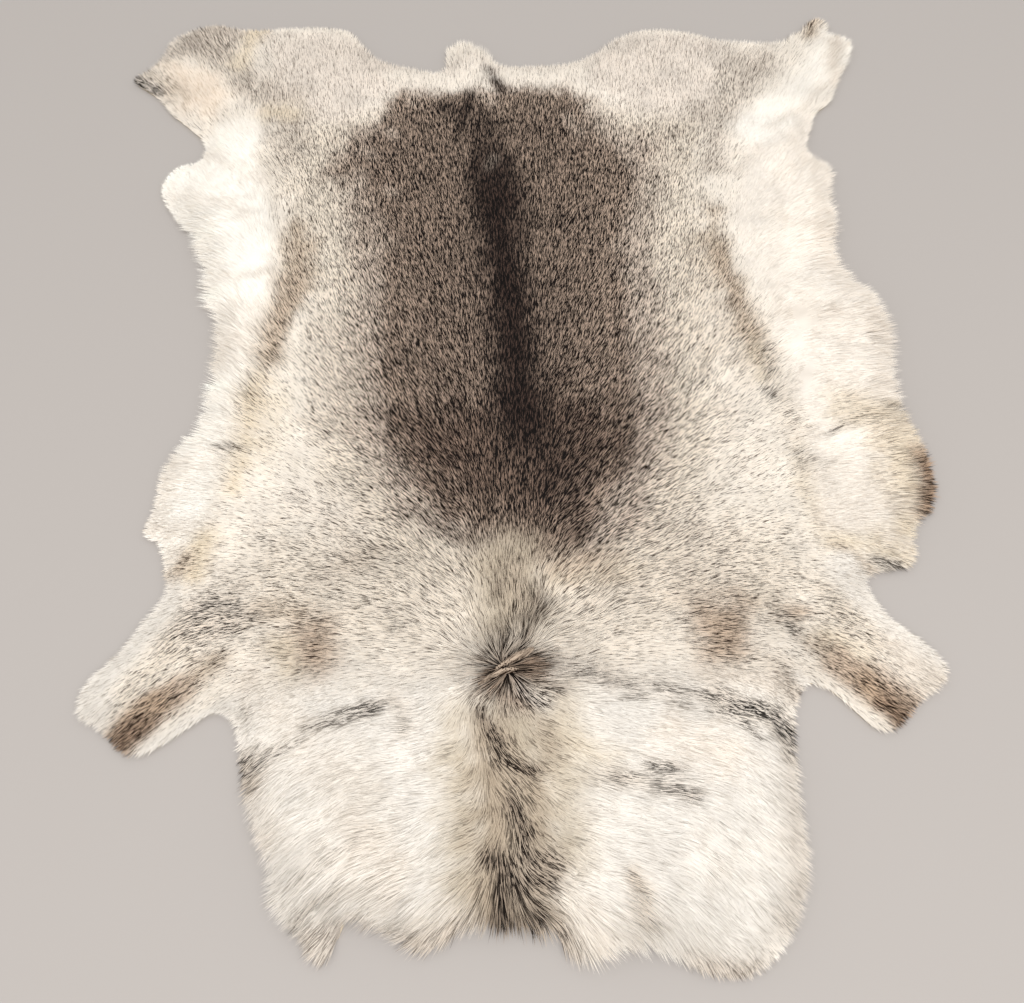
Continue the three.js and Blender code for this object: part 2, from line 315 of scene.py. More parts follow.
# %% Where the markings are
# Columns: colour, half width (mm, 0 marks an area), border softness (mm), strength, points x, y (mm).
MARKINGS = [
    # The peppered coat round the saddle, and the rump.
    ("peppered cream", 0, 35, 0.9, [
        (-300, 445), (-305, 350), (-270, 270), (-245, 200), (-238, 60), (-228, -40), (-200, -140),
        (-150, -230), (-60, -260), (90, -265), (190, -215), (235, -110), (245, 20), (255, 120), (262, 300),
        (300, 440)]),
    ("peppered cream", 60, 40, 0.6, [(-230, -255), (-60, -280), (80, -275), (250, -255)]),
    ("rump", 0, 30, 1, [
        (-330, 620), (-150, 600), (-120, 545), (120, 545), (200, 610), (330, 590), (325, 440), (200, 430),
        (120, 500), (-120, 500), (-220, 430), (-320, 440)]),
    ("haze", 0, 26, 1, [
        (-150, 440), (-205, 410), (-220, 350), (-200, 290), (-192, 200), (-184, 100), (-182, 0),
        (-172, -80), (-148, -128), (-110, -180), (-50, -212), (20, -242), (90, -240), (140, -200),
        (160, -150), (184, -90), (192, 0), (190, 100), (192, 200), (205, 300), (212, 370), (165, 412),
        (112, 476)]),
    # The saddle and the dorsal stripe.
    ("saddle", 0, 14, 1, [
        (-136, 485), (-150, 472), (-150, 440), (-160, 400), (-178, 360), (-170, 300), (-155, 240),
        (-150, 150), (-150, 50), (-146, -20), (-134, -88), (-104, -142), (-72, -184), (-25, -208),
        (26, -228), (70, -222), (96, -186), (124, -142), (144, -90), (152, -30), (150, 50), (150, 150),
        (160, 240), (174, 300), (170, 350), (146, 385), (124, 416), (114, 455), (98, 480), (60, 486),
        (10, 488), (-20, 482), (-80, 480)]),
    ("umber", 0, 40, 0.85, [
        (-128, -50), (-106, -116), (-40, -178), (52, -208), (88, -162), (130, -98), (138, -50), (60, -20),
        (0, -20), (-60, -35)]),
    ("umber", 0, 36, 0.31, [
        (-118, 440), (-146, 380), (-142, 290), (-128, 190), (-120, 60), (-118, -28), (112, -28), (114, 60),
        (120, 180), (134, 300), (126, 380), (96, 440)]),
    ("saddle", 20, 30, 0.9, [(-145, 388), (-180, 366), (-205, 342)]),
    ("umber", 20, 30, 0.4, [(-160, 392), (-166, 330)]),
    ("haze", 18, 30, 0.22, [(215, 395), (228, 340)]),
    ("haze", 18, 34, 0.2, [(215, 130), (218, 40)]),
    ("cream", 18, 30, 0.25, [(-225, 120), (-215, -10)]),
    ("saddle", 12, 22, 0.4, [(-172, 300), (-176, 262), (-168, 222)]),
    ("saddle", 12, 24, 0.3, [(160, 335), (172, 290), (166, 250)]),
    ("haze", 18, 30, 0.25, [(-208, 60), (-202, -60)]),
    ("umber", 8, 18, 0.6, [(-104, -182), (-64, -204), (-26, -216)]),
    ("umber", 11, 16, 0.7, [(6, -218), (44, -228), (72, -220)]),
    ("dorsal", 22, 18, 0.5, [(-24, 430), (-16, 380), (-10, 330)]),
    ("dorsal", 34, 20, 0.9, [(-10, 335), (-8, 290)]),
    ("dorsal", 24, 20, 1, [(-5, 290), (0, 200), (8, 100), (12, 0), (20, -60)]),
    ("dorsal", 28, 30, 0.6, [(15, -60), (32, -100), (50, -135)]),
    ("dorsal", 42, 42, 0.35, [(-4, 280), (4, 120), (12, -20)]),
    ("dorsal", 7, 9, 0.8, [(-34, 478), (-46, 448), (-52, 412)]),
    ("dorsal", 12, 12, 0.6, [(-72, 452), (-52, 436)]),
    ("haze", 7, 9, 0.8, [(-24, 486), (-8, 462)]),
    ("saddle", 9, 9, 0.8, [(-12, 524), (0, 504), (6, 488)]),
    ("dorsal", 6, 6, 1, [(-14, 530), (0, 504), (8, 484)]),
    ("haze", 4, 8, 0.9, [(-124, 466), (-114, 462)]),
    ("haze", 5, 9, 0.9, [(-150, 408), (-142, 402)]),
    ("haze", 6, 9, 0.9, [(-181, 372), (-168, 362)]),
    ("haze", 7, 12, 0.7, [(96, 428), (112, 400)]),
    ("saddle", 12, 20, 0.5, [(-190, 352), (-160, 348)]),
    ("haze", 8, 14, 0.4, [(188, 385), (240, 392)]),
    ("haze", 5, 9, 0.8, [(-148, 302), (-140, 296)]),
    ("haze", 5, 9, 0.8, [(164, 366), (176, 340)]),
    ("haze", 5, 10, 0.7, [(-8, 352), (-14, 340)]),
    ("haze", 7, 12, 0.7, [(150, 196), (172, 186)]),
    ("haze", 7, 12, 0.6, [(-160, 206), (-142, 212)]),
    ("tan", 9, 16, 0.6, [(45, -258), (78, -258), (120, -250)]),
    ("brown", 8, 16, 0.4, [(40, -222), (76, -234), (120, -236)]),
    ("flank brown", 15, 18, 0.75, [(62, -247), (98, -251)]),
    ("haze", 22, 36, 0.22, [(132, -172), (205, -200)]),
    ("haze", 28, 44, 0.12, [(90, -285), (190, -240)]),
    ("haze", 18, 32, 0.2, [(-209, -162), (-172, -204)]),
    ("cream", 14, 14, 1, [(-140, 522), (-80, 516), (-24, 518)]),
    ("cream", 14, 14, 1, [(14, 518), (60, 516), (118, 522)]),
    # Belly and flanks.
    ("leg white", 0, 10, 1, [
        (-322, 442), (-322, 400), (-332, 360), (-312, 320), (-302, 280), (-292, 240), (-286, 200),
        (-283, 160), (-290, 120), (-300, 60), (-312, 20), (-322, -40), (-330, -100), (-327, -140),
        (-338, -180), (-350, -208), (-420, -215), (-470, 100), (-480, 330), (-420, 400), (-380, 430)]),
    ("belly white", 0, 10, 1, [
        (338, 440), (330, 400), (336, 360), (325, 320), (312, 280), (305, 240), (302, 200), (308, 160),
        (318, 120), (328, 80), (335, 40), (335, 0), (333, -40), (350, -80), (333, -120), (336, -180),
        (350, -220), (368, -252), (450, -262), (520, -150), (520, 150), (480, 420), (400, 450)]),
    ("flank brown", 15, 14, 1, [(-264, 240), (-258, 212), (-256, 147)]),
    ("flank brown", 7, 14, 0.6, [(-242, 222), (-240, 165)]),
    ("flank brown", 13, 13, 1, [(-258, 147), (-267, 116), (-275, 76), (-282, 40)]),
    ("brown", 9, 10, 0.6, [(-263, 196), (-258, 147), (-267, 118), (-274, 90)]),
    ("flank brown", 12, 13, 0.8, [(-282, 40), (-291, 5), (-298, -28)]),
    ("tan", 9, 12, 0.9, [(-291, 8), (-298, -29), (-300, -83), (-308, -140)]),
    ("flank brown", 12, 14, 0.7, [(279, 250), (272, 218), (271, 190)]),
    ("flank brown", 13, 13, 1, [(274, 196), (279, 160), (287, 122), (292, 88), (298, 58)]),
    ("flank brown", 13, 14, 0.8, [(298, 58), (307, 20)]),
    ("brown", 9, 10, 0.6, [(274, 180), (282, 134), (290, 98)]),
    ("tan", 9, 12, 0.8, [(303, 30), (304, -10)]),
    ("flank brown", 22, 26, 0.35, [(254, 190), (262, 110), (282, 10)]),
    ("flank brown", 14, 18, 0.6, [(-268, 213), (-274, 132), (-290, 57)]),
    ("flank brown", 10, 20, 0.35, [(318, 10), (324, -50), (330, -90)]),
    ("brown", 12, 16, 0.45, [(-270, 150), (-282, 70)]),
    ("tan", 18, 26, 0.5, [(-273, -30), (-278, -90)]),
    ("haze", 24, 34, 0.15, [(262, -40), (262, -120)]),
    # Painted shade of the soft folds on the belly and flanks.
    ("painted fold shade", 14, 20, 0.6, [(-318, 110), (-324, 40)]),
    ("painted fold shade", 20, 26, 0.6, [(334, 92), (385, 72)]),
    ("painted fold shade", 22, 30, 0.5, [(352, -150), (420, -170)]),
    ("painted fold shade", 16, 24, 0.5, [(360, -215), (410, -225)]),
    ("painted fold shade", 20, 26, 0.5, [(-385, -110), (-390, -170)]),
    ("painted fold shade", 12, 20, 0.5, [(-352, -215), (-322, -238)]),
    ("ticked", 8, 9, 0.8, [(318, 32), (313, -6)]),
    ("ink", 4, 5, 1, [(305, -27), (315, -40)]),
    ("smoke", 2, 4, 0.8, [(324, -52), (335, -70), (345, -86), (356, -92)]),
    ("tan", 8, 12, 0.5, [(330, -110), (326, -160), (334, -205)]),
    ("grey", 0, 20, 0.6, [(-312, 460), (-262, 460), (-262, 380), (-285, 345), (-315, 400)]),
    ("grey", 17, 18, 0.7, [(284, 440), (296, 380), (288, 330)]),
    ("ink", 2, 5, 0.7, [(-271, 382), (-258, 371)]),
    ("ink", 1.5, 5, 0.6, [(-245, 2), (-228, -1)]),
    ("ink", 2, 5, 0.7, [(-285, -197), (-260, -209)]),
    ("ink", 1.5, 5, 0.6, [(-250, -154), (-235, -163)]),
    ("tan", 11, 12, 1, [(-332, -200), (-340, -242)]),
    ("flank brown", 8, 10, 0.9, [(-350, -226), (-364, -246)]),
    ("ink", 3, 5, 0.9, [(-333, -87), (-306, -89)]),
    ("smoke", 2, 9, 0.35, [(-345, -92), (-320, -98)]),
    ("smoke", 2, 9, 0.4, [(-350, -136), (-322, -132)]),
    ("ink", 1.5, 6, 0.5, [(383, 40), (408, 36)]),
    ("ink", 1.5, 6, 0.5, [(418, 43), (442, 41)]),
    ("ink", 1.5, 6, 0.4, [(398, 29), (428, 26)]),
    ("ink", 3, 5, 0.9, [(366, -93), (385, -81), (405, -69), (420, -58), (450, -48)]),
    ("ink", 3, 7, 0.7, [(402, -75), (430, -72), (458, -65)]),
    ("ink", 3, 6, 0.8, [(326, -114), (345, -119)]),
    ("smoke", 8, 12, 0.4, [(330, -130), (365, -136)]),
    ("tan", 20, 24, 0.75, [(392, -58), (430, -74), (465, -92)]),
    ("tan", 11, 14, 0.8, [(352, -226), (390, -236), (428, -248)]),
    ("ticked", 0, 12, 0.9, [(436, -120), (480, -120), (480, -205), (444, -205), (436, -160)]),
    ("tan", 20, 24, 0.9, [(434, -110), (436, -160), (428, -205)]),
    ("flank brown", 16, 22, 0.3, [(400, -50), (426, -96), (424, -150)]),
    ("dark brown", 15, 12, 1, [(466, -128), (468, -160), (459, -195)]),
    ("whorl brown", 8, 9, 0.75, [(466, -138), (466, -168), (458, -195)]),
    ("ink", 5, 5, 0.95, [(390, -246), (406, -250), (424, -256)]),
    ("flank brown", 4, 7, 0.9, [(350, -232), (375, -250), (400, -270)]),
    ("ink", 1.5, 5, 0.6, [(276, 40), (270, 12)]),
    ("ink", 1.5, 5, 0.5, [(242, -4), (222, -20)]),
    # More painted shade of the soft folds across the belly and flanks.
    ("painted fold shade", 8, 14, 0.55, [(340, 82), (400, 74), (455, 62)]),
    ("painted fold shade", 7, 14, 0.6, [(345, -8), (400, -22), (460, -32)]),
    ("painted fold shade", 10, 16, 0.7, [(345, -196), (400, -188), (432, -182)]),
    ("painted fold shade", 6, 12, 0.5, [(318, 320), (345, 352), (366, 400)]),
    ("painted fold shade", 6, 14, 0.5, [(365, 300), (415, 330), (436, 350)]),
    ("painted fold shade", 6, 14, 0.5, [(352, 240), (400, 222), (436, 226)]),
    ("painted fold shade", 6, 14, 0.6, [(-312, 322), (-352, 344), (-400, 386)]),
    ("painted fold shade", 5, 12, 0.5, [(-292, 168), (-340, 160)]),
    ("painted fold shade", 6, 14, 0.5, [(-330, 262), (-380, 290), (-430, 300)]),
    ("painted fold shade", 6, 14, 0.5, [(-332, -112), (-385, -104)]),
    ("painted fold shade", 7, 14, 0.6, [(-340, -186), (-395, -186)]),
    # Hind legs.
    ("peach", 0, 20, 1, [(-480, 560), (-450, 560), (-395, 540), (-372, 490), (-390, 440), (-440, 470)]),
    ("grey", 0, 18, 1, [(-480, 585), (-440, 640), (-390, 645), (-372, 590), (-400, 556), (-436, 572)]),
    ("ticked", 10, 22, 0.5, [(-400, 600), (-368, 560), (-345, 510)]),
    ("flank brown", 14, 20, 0.5, [(-500, 552), (-470, 520), (-452, 500)]),
    ("grey", 22, 26, 0.8, [(-402, 648), (-356, 614)]),
    ("grey", 16, 20, 0.5, [(-390, 583), (-364, 515)]),
    ("grey", 14, 20, 0.9, [(312, 456), (336, 392)]),
    ("grey", 20, 26, 0.45, [(-334, 492), (-275, 432)]),
    ("grey", 20, 24, 0.7, [(-352, 530), (-318, 492), (-290, 486)]),
    ("tan", 12, 14, 0.9, [(-348, 640), (-356, 600), (-366, 556)]),
    ("smoke", 3, 6, 0.8, [(-342, 502), (-330, 478), (-318, 454)]),
    ("tan", 14, 16, 0.8, [(-312, 452), (-280, 450)]),
    ("ink", 9, 6, 0.95, [(-524, 540), (-500, 522), (-482, 511)]),
    ("grey", 0, 26, 0.75, [
        (330, 558), (390, 562), (410, 545), (392, 515), (350, 450), (330, 470), (326, 520)]),
    ("ticked", 10, 14, 0.6, [(330, 520), (324, 480), (322, 452)]),
    ("leg white", 30, 16, 1, [(352, 400), (410, 455), (470, 520), (506, 590)]),
    # Painted shade of folds on the right hind leg.
    ("painted fold shade", 10, 14, 0.9, [(486, 500), (486, 540), (498, 580)]),
    ("painted fold shade", 5, 10, 0.6, [(372, 400), (425, 440), (465, 490)]),
    ("flank brown", 9, 10, 1, [(462, 596), (478, 640)]),
    ("smoke", 2.5, 6, 0.4, [(309, 600), (312, 550), (312, 480), (305, 400)]),
    # Shoulders and forelegs.
    ("brown", 0, 20, 1, [(-230, -304), (-192, -300), (-184, -362), (-212, -370), (-226, -342)]),
    ("brown", 9, 16, 0.6, [(-206, -330), (-200, -360)]),
    ("flank brown", 12, 16, 0.7, [(-270, -288), (-225, -290)]),
    ("taupe", 16, 26, 0.5, [(225, -330), (262, -355), (272, -385)]),
    ("brown", 0, 20, 1, [(188, -292), (242, -296), (246, -340), (226, -360), (186, -362)]),
    ("brown", 14, 20, 0.2, [(186, -276), (235, -276)]),
    ("dark brown", 10, 16, 0.2, [(222, -318), (216, -350)]),
    ("brown", 7, 9, 0.9, [(282, -308), (303, -306)]),
    ("ink", 4.5, 6, 1, [(280, -309), (285, -322), (291, -336)]),
    ("ticked", 0, 20, 1, [
        (-350, -272), (-290, -262), (-272, -296), (-310, -325), (-350, -330), (-372, -318)]),
    ("tan", 10, 14, 0.8, [(-238, -330), (-226, -368)]),
    # Painted shade in the crease by the left foreleg.
    ("painted fold shade", 14, 14, 0.8, [(-268, -362), (-250, -380)]),
    ("taupe", 10, 16, 0.35, [(-250, -332), (-218, -364)]),
    ("taupe", 12, 18, 0.35, [(262, -288), (294, -330)]),
    ("taupe", 10, 16, 0.3, [(205, -362), (238, -372)]),
    ("peppered cream", 18, 18, 0.7, [(-352, -330), (-400, -385)]),
    ("peppered cream", 0, 20, 0.75, [
        (312, -275), (345, -270), (376, -315), (404, -360), (372, -362), (320, -325)]),
    ("ink", 2, 6, 0.6, [(-342, -292), (-320, -276), (-290, -284)]),
    ("cream", 12, 12, 0.8, [(250, -338), (300, -352), (340, -390)]),
    ("flank brown", 11, 12, 0.9, [(-307, -343), (-338, -367)]),
    ("brown", 15, 9, 0.9, [(-338, -368), (-360, -383)]),
    ("dark brown", 17, 8, 0.9, [(-364, -386), (-378, -397), (-395, -418)]),
    ("whorl brown", 12, 9, 0.7, [(-374, -404), (-394, -422)]),
    ("tan", 11, 12, 0.7, [(320, -336), (350, -354)]),
    ("flank brown", 11, 10, 0.9, [(312, -342), (330, -358)]),
    ("brown", 15, 8, 1, [(331, -360), (352, -381)]),
    ("dark brown", 17, 8, 1, [(358, -386), (372, -400), (388, -415)]),
    ("whorl brown", 12, 9, 0.7, [(374, -402), (392, -420)]),
    ("brown", 12, 10, 0.7, [(374, -380), (398, -402)]),
    ("mane white", 21, 10, 1, [(-366, -268), (-400, -315), (-436, -366), (-424, -388)]),
    ("mane white", 19, 9, 1, [(352, -258), (374, -290), (406, -328), (430, -352)]),
    # Painted shade in the crease by the right foreleg.
    ("painted fold shade", 14, 16, 0.8, [(392, -350), (424, -382)]),
    ("mane white", 10, 6, 1, [(-290, -385), (-330, -406), (-370, -432)]),
    # Painted shadow: a thin dark line under the left foreleg's rolled edge.
    ("ink", 1.2, 2, 0.9, [(-300, -401), (-340, -424), (-368, -444)]),
    ("mane white", 7, 5, 1, [(285, -372), (314, -398), (346, -428)]),
    # Painted shadow: a thin dark line under the right foreleg's rolled edge.
    ("ink", 1.5, 2, 0.9, [(306, -398), (330, -418), (350, -436)]),
    ("ink", 2, 4, 0.7, [(277, -374), (287, -386)]),
    # The mane.
    ("mane white", 0, 24, 1, [
        (-255, -374), (-180, -360), (-80, -366), (-52, -430), (-54, -500), (-62, -580), (-130, -620),
        (-260, -600), (-280, -470), (-290, -400)]),
    ("mane white", 0, 24, 1, [
        (50, -378), (160, -366), (250, -376), (280, -420), (280, -520), (260, -600), (200, -650),
        (60, -650), (45, -540), (44, -450)]),
    ("ink", 2, 5, 0.7, [(-275, -392), (-270, -400)]),
    ("grey", 14, 16, 1, [(-268, -450), (-258, -490), (-246, -520)]),
    ("taupe", 12, 12, 0.9, [(-272, -460), (-262, -495), (-240, -545)]),
    ("grey", 7, 18, 0.5, [(-246, -520), (-236, -580)]),
    ("grey", 7, 16, 0.6, [(266, -440), (262, -520), (240, -590)]),
    ("nape tan", 16, 24, 0.9, [(-62, -420), (-60, -480), (-58, -560)]),
    ("nape tan", 20, 26, 0.8, [(44, -400), (44, -460), (42, -540)]),
    ("peach", 14, 24, 0.5, [(150, -430), (200, -450)]),
    ("tan", 14, 22, 0.5, [(36, -430), (62, -446), (84, -458)]),
    ("nape tan", 14, 30, 0.35, [(-150, -470), (-140, -540)]),
    # Painted shade of soft folds in the mane.
    ("painted fold shade", 18, 24, 0.7, [(-141, -528), (-113, -556)]),
    ("painted fold shade", 18, 22, 0.6, [(-240, -395), (-215, -415)]),
    ("painted fold shade", 26, 34, 0.5, [(-190, -450), (-160, -500)]),
    ("painted fold shade", 14, 20, 0.5, [(50, -580), (70, -610)]),
    ("smoke", 6, 12, 0.4, [(140, -472), (168, -488)]),
    ("nape brown", 6, 14, 0.5, [(-46, -470), (-44, -550)]),
    ("nape tan", 34, 24, 1, [(-4, -240), (-6, -395), (-6, -600)]),
    ("nape smoke", 12, 16, 0.15, [(14, -400), (26, -430), (16, -460)]),
    ("nape brown", 20, 18, 1, [(-24, -432), (-16, -480), (-22, -530), (-26, -604)]),
    ("nape brown", 16, 18, 0.9, [(8, -470), (10, -530), (14, -590)]),
    ("nape brown", 8, 14, 0.6, [(14, -404), (24, -428), (36, -446)]),
    ("taupe", 9, 14, 0.9, [(-22, -425), (-8, -460), (0, -490), (0, -520), (-6, -545)]),
    ("brown tuft", 6, 8, 0.9, [(-38, -586), (-27, -600)]),
    ("ink", 4, 5, 0.9, [(-132, -395), (-150, -394), (-176, -399)]),
    ("ink", 3, 5, 1, [(-137, -400), (-155, -405), (-174, -409), (-193, -411), (-211, -415)]),
    ("ink", 2, 4, 0.8, [(-169, -404), (-194, -401)]),
    ("ticked", 5, 8, 0.8, [(-114, -396), (-128, -386)]),
    ("ticked", 9, 12, 0.5, [(-240, -436), (-262, -450), (-278, -460)]),
    ("ink", 1.5, 4, 1, [(-212, -426), (-235, -439)]),
    ("ink", 1.5, 4, 0.8, [(-252, -431), (-268, -440)]),
    ("ink", 1.5, 4, 0.7, [(-242, -440), (-264, -456)]),
    ("ticked", 8, 12, 0.6, [(-116, -404), (-110, -422)]),
    # Painted shade under the rolled lip of the hem, left of the nape.
    ("grey", 8, 12, 1, [(-130, -600), (-90, -606), (-60, -600), (-44, -592)]),
    ("smoke", 3, 6, 0.8, [(-126, -612), (-90, -616), (-62, -610), (-46, -602)]),
    ("grey", 0, 12, 0.8, [(-208, -592), (-186, -612), (-176, -630), (-160, -612), (-170, -590)]),
    ("smoke", 4, 10, 0.8, [(-172, -562), (-205, -588), (-232, -604)]),
    ("smoke", 3, 10, 0.5, [(-130, -500), (-165, -530), (-205, -560)]),
    # More painted shade along the hem's lip.
    ("grey", 5, 10, 0.8, [(-170, -600), (-130, -604), (-100, -616), (-60, -612)]),
    # Painted shade of a soft fold below the right shoulder.
    ("painted fold shade", 8, 9, 0.9, [(190, -370), (225, -374), (255, -382)]),
    ("grey", 8, 10, 0.7, [(268, -372), (280, -392)]),
    ("ticked", 10, 14, 0.45, [(48, -362), (96, -374)]),
    ("ticked", 11, 14, 0.35, [(100, -376), (150, -386), (196, -398)]),
    ("ink", 2, 4, 0.8, [(60, -365), (82, -367)]),
    ("ink", 2, 4, 0.7, [(83, -378), (100, -378)]),
    ("ink", 2.5, 5, 0.7, [(104, -382), (127, -380), (146, -379)]),
    ("ink", 2.5, 5, 0.65, [(144, -384), (163, -387), (181, -391), (202, -396)]),
    ("ink", 2, 4, 0.9, [(103, -394), (126, -394)]),
    ("ink", 2.5, 4, 0.6, [(152, -401), (169, -405), (198, -415)]),
    ("smoke", 14, 12, 0.9, [(203, -396), (228, -408), (252, -416), (268, -436)]),
    ("ink", 5, 6, 0.95, [(214, -400), (233, -408), (251, -419), (264, -432)]),
    ("ink", 4, 5, 0.95, [(208, -410), (221, -423), (238, -440)]),
    ("ink", 2.5, 4, 0.9, [(241, -400), (256, -409), (263, -423)]),
    ("smoke", 6, 12, 0.7, [(256, -448), (266, -466), (272, -490)]),
    ("ink", 4, 6, 1, [(124, -463), (148, -467)]),
    ("smoke", 8, 12, 0.9, [(82, -473), (120, -476)]),
    ("ink", 4.5, 7, 0.95, [(130, -480), (165, -495)]),
    ("smoke", 2, 6, 0.6, [(168, -540), (186, -560)]),
    ("flank brown", 5, 9, 0.9, [(100, -560), (107, -580), (118, -600)]),
    ("ink", 1.8, 5, 0.7, [(107, -579), (114, -594), (122, -604)]),
    ("smoke", 2, 8, 0.7, [(222, -596), (240, -612)]),
    # Painted shade under the rolled lip of the hem, right of the nape.
    ("grey", 7, 10, 0.9, [(50, -630), (110, -636), (180, -644), (225, -648)]),
    # Painted shade under the hem's lip, left of the nape.
    ("taupe", 14, 10, 0.5, [(-126, -614), (-88, -618), (-46, -606)]),
    # More painted shade under the hem's lip on the right.
    ("grey", 13, 12, 0.8, [(150, -640), (200, -652), (240, -646), (264, -600)]),
    ("smoke", 3, 7, 0.7, [(140, -642), (190, -654), (232, -652)]),
    # The dark line of the nape, from the withers down the middle of the mane.
    ("taupe", 16, 18, 0.7, [(-6, -236), (2, -264), (2, -296), (-8, -340)]),
    ("brown", 8, 16, 0.4, [(34, -248), (76, -248)]),
    ("nape smoke", 4, 12, 0.6, [(4, -240), (4, -268), (6, -296)]),
    ("nape ink", 3, 9, 0.7, [(-18, -262), (-16, -284)]),
    ("nape ink", 5, 9, 0.9, [(24, -276), (32, -294), (18, -300)]),
    ("smoke", 0, 14, 0.7, [
        (-44, -354), (-30, -326), (10, -314), (40, -336), (50, -378), (26, -408), (-32, -396)]),
    ("whorl brown", 12, 9, 1, [(-30, -370), (-8, -367), (24, -359)]),
    ("whorl brown", 8, 10, 0.7, [(-36, -378), (-16, -387), (6, -394)]),
    ("nape ink", 3.5, 7, 0.95, [(-9, -342), (-13, -320)]),
    ("nape ink", 4, 7, 0.95, [(11, -337), (16, -318)]),
    ("nape ink", 3, 7, 0.8, [(-27, -348), (-24, -332)]),
    ("nape ink", 2.5, 5, 0.8, [(-32, -354), (-44, -350)]),
    # The next three rows are partly dark hair and partly painted shadow along the sides of the ropes.
    ("nape ink", 3, 4, 1, [(-28, -362), (-4, -355), (6, -350), (16, -346)]),
    ("nape ink", 3.5, 5, 1, [(-5, -362), (16, -361), (40, -359)]),
    ("nape ink", 4, 5, 1, [(-36, -373), (-9, -368), (2, -370)]),
    ("ink", 5, 9, 0.9, [(-3, -379), (28, -399)]),
    ("nape ink", 3, 6, 0.8, [(19, -376), (46, -385)]),
    ("nape ink", 3, 6, 0.6, [(-22, -386), (-14, -396)]),
    ("nape ink", 2.5, 5, 0.8, [(-46, -382), (-43, -396)]),
    ("nape ink", 4, 7, 0.9, [(-37, -401), (-33, -413), (-26, -423)]),
    ("nape ink", 5, 8, 0.7, [(-27, -425), (-20, -439), (-22, -453)]),
    ("nape ink", 4, 7, 0.9, [(-4, -455), (16, -466)]),
    ("nape ink", 5, 8, 0.9, [(-8, -494), (0, -516), (4, -524)]),
    ("nape ink", 6, 7, 0.95, [(-35, -543), (-20, -546), (-10, -557), (2, -568)]),
    ("nape smoke", 0, 10, 0.75, [(-9, -538), (29, -536), (41, -550), (37, -571), (6, -579), (-8, -561)]),
    ("nape ink", 2, 6, 0.8, [(-6, -543), (14, -543), (29, -545)]),
    ("nape ink", 2.5, 6, 0.8, [(-4, -561), (18, -563), (33, -575)]),
    ("nape ink", 6, 8, 0.95, [(-20, -565), (-16, -583), (-10, -603)]),
    ("nape ink", 5, 8, 0.95, [(-5, -581), (-3, -601)]),
    ("nape ink", 6, 8, 0.9, [(12, -581), (20, -603)]),
    ("nape smoke", 9, 10, 0.7, [(29, -599), (57, -637)]),
    ("nape ink", 2.5, 6, 0.7, [(43, -611), (57, -631)]),
    ("nape smoke", 8, 16, 0.4, [(-205, -250), (-165, -232), (-145, -222)]),
    ("brown", 6, 10, 0.5, [(40, -238), (62, -246), (84, -242)]),
]


def distance_to_points(x, y, points, closed):
    """Millimetres to a line of points, and less than 0 inside when it is closed."""
    knots = np.array(points + points[:1] if closed else points, float)
    nearest = np.full(len(x), np.inf)
    inside = np.zeros(len(x), bool)
    for (ax, ay), (bx, by) in zip(knots[:-1], knots[1:]):
        length2 = (bx - ax) ** 2 + (by - ay) ** 2
        along = np.clip(((x - ax) * (bx - ax) + (y - ay) * (by - ay)) / length2, 0, 1)
        nearest = np.minimum(nearest, np.hypot(x - ax - along * (bx - ax), y - ay - along * (by - ay)))
        if closed and ay != by:
            inside ^= ((ay > y) != (by > y)) & (x < ax + (y - ay) * (bx - ax) / (by - ay))
    return np.where(inside, -nearest, nearest)


# Columns: share, size (mm), seed.
RAGGED_BORDERS = [(0.6, 14, 3), (0.4, 6, 4)]
RAGGED_SHARE = 0.6 # of a border's softness
PATCHY_COLOUR = [(0.07, 34, 8), (0.05, 11, 9)]


def mottled(x, y, layers):
    """Several sizes of random patches added up."""
    return sum(share * mottle(x, y, size, seed) for share, size, seed in layers)


def colours_at(x, y):
    """Linear ground and tick colours, and the share of ticks, at each place."""
    palette = {name: (*linear(g), *linear(t), share) for name, (g, t, share) in COLOURS.items()}
    blend = np.repeat(np.array(palette["cream"])[:, None], len(x), axis=1)
    ragged = RAGGED_SHARE * mottled(x, y, RAGGED_BORDERS)
    for colour, half_width, border, strength, points in MARKINGS:
        outside = distance_to_points(x, y, points, half_width == 0) - half_width
        share = strength * (1 - smooth_step(outside + border * ragged, -border, border))
        blend += (np.array(palette[colour])[:, None] - blend) * share
    blend[:6] = np.clip(blend[:6] * (1 + mottled(x, y, PATCHY_COLOUR)), 0, 1)
    return blend[:3], blend[3:6], np.clip(blend[6], 0, 1)


# %% [markdown]
# ## A sheet cut to the outline
# The skin and the underfur both need a sheet with the outline of the hide, drawn in a little from where
# the hair tips end. A square grid is trimmed to the outline, and its rim is pulled onto it.

# %% Trimmed grid
BARE_EDGE = 1.5 # mm, where the hair lies along the edge
# Where hair lies straight out over the edge, its reach is this share of its length.
HAIR_LENGTHS = (15, 35, 50)
HAIR_REACH = (0.5, 0.90, 0.98)
EDGE_TURN = 0.3 # how far hair at the very edge is turned outwards


def inset_at(x, y, out_x, out_y):
    """How far the skin ends inside the fur's edge: the reach of the hair that lies out over it."""
    comb_x, comb_y = comb_at(x.ravel(), y.ravel()).reshape(2, *x.shape)
    comb_x = comb_x * (1 - EDGE_TURN) + out_x * EDGE_TURN
    comb_y = comb_y * (1 - EDGE_TURN) + out_y * EDGE_TURN
    outward = np.clip((comb_x * out_x + comb_y * out_y) / (np.hypot(comb_x, comb_y) + 1e-9), 0, 1)
    hair = coat_at(x.ravel(), y.ravel())[0].reshape(x.shape)
    return BARE_EDGE + np.interp(hair, HAIR_LENGTHS, HAIR_REACH) * hair * outward


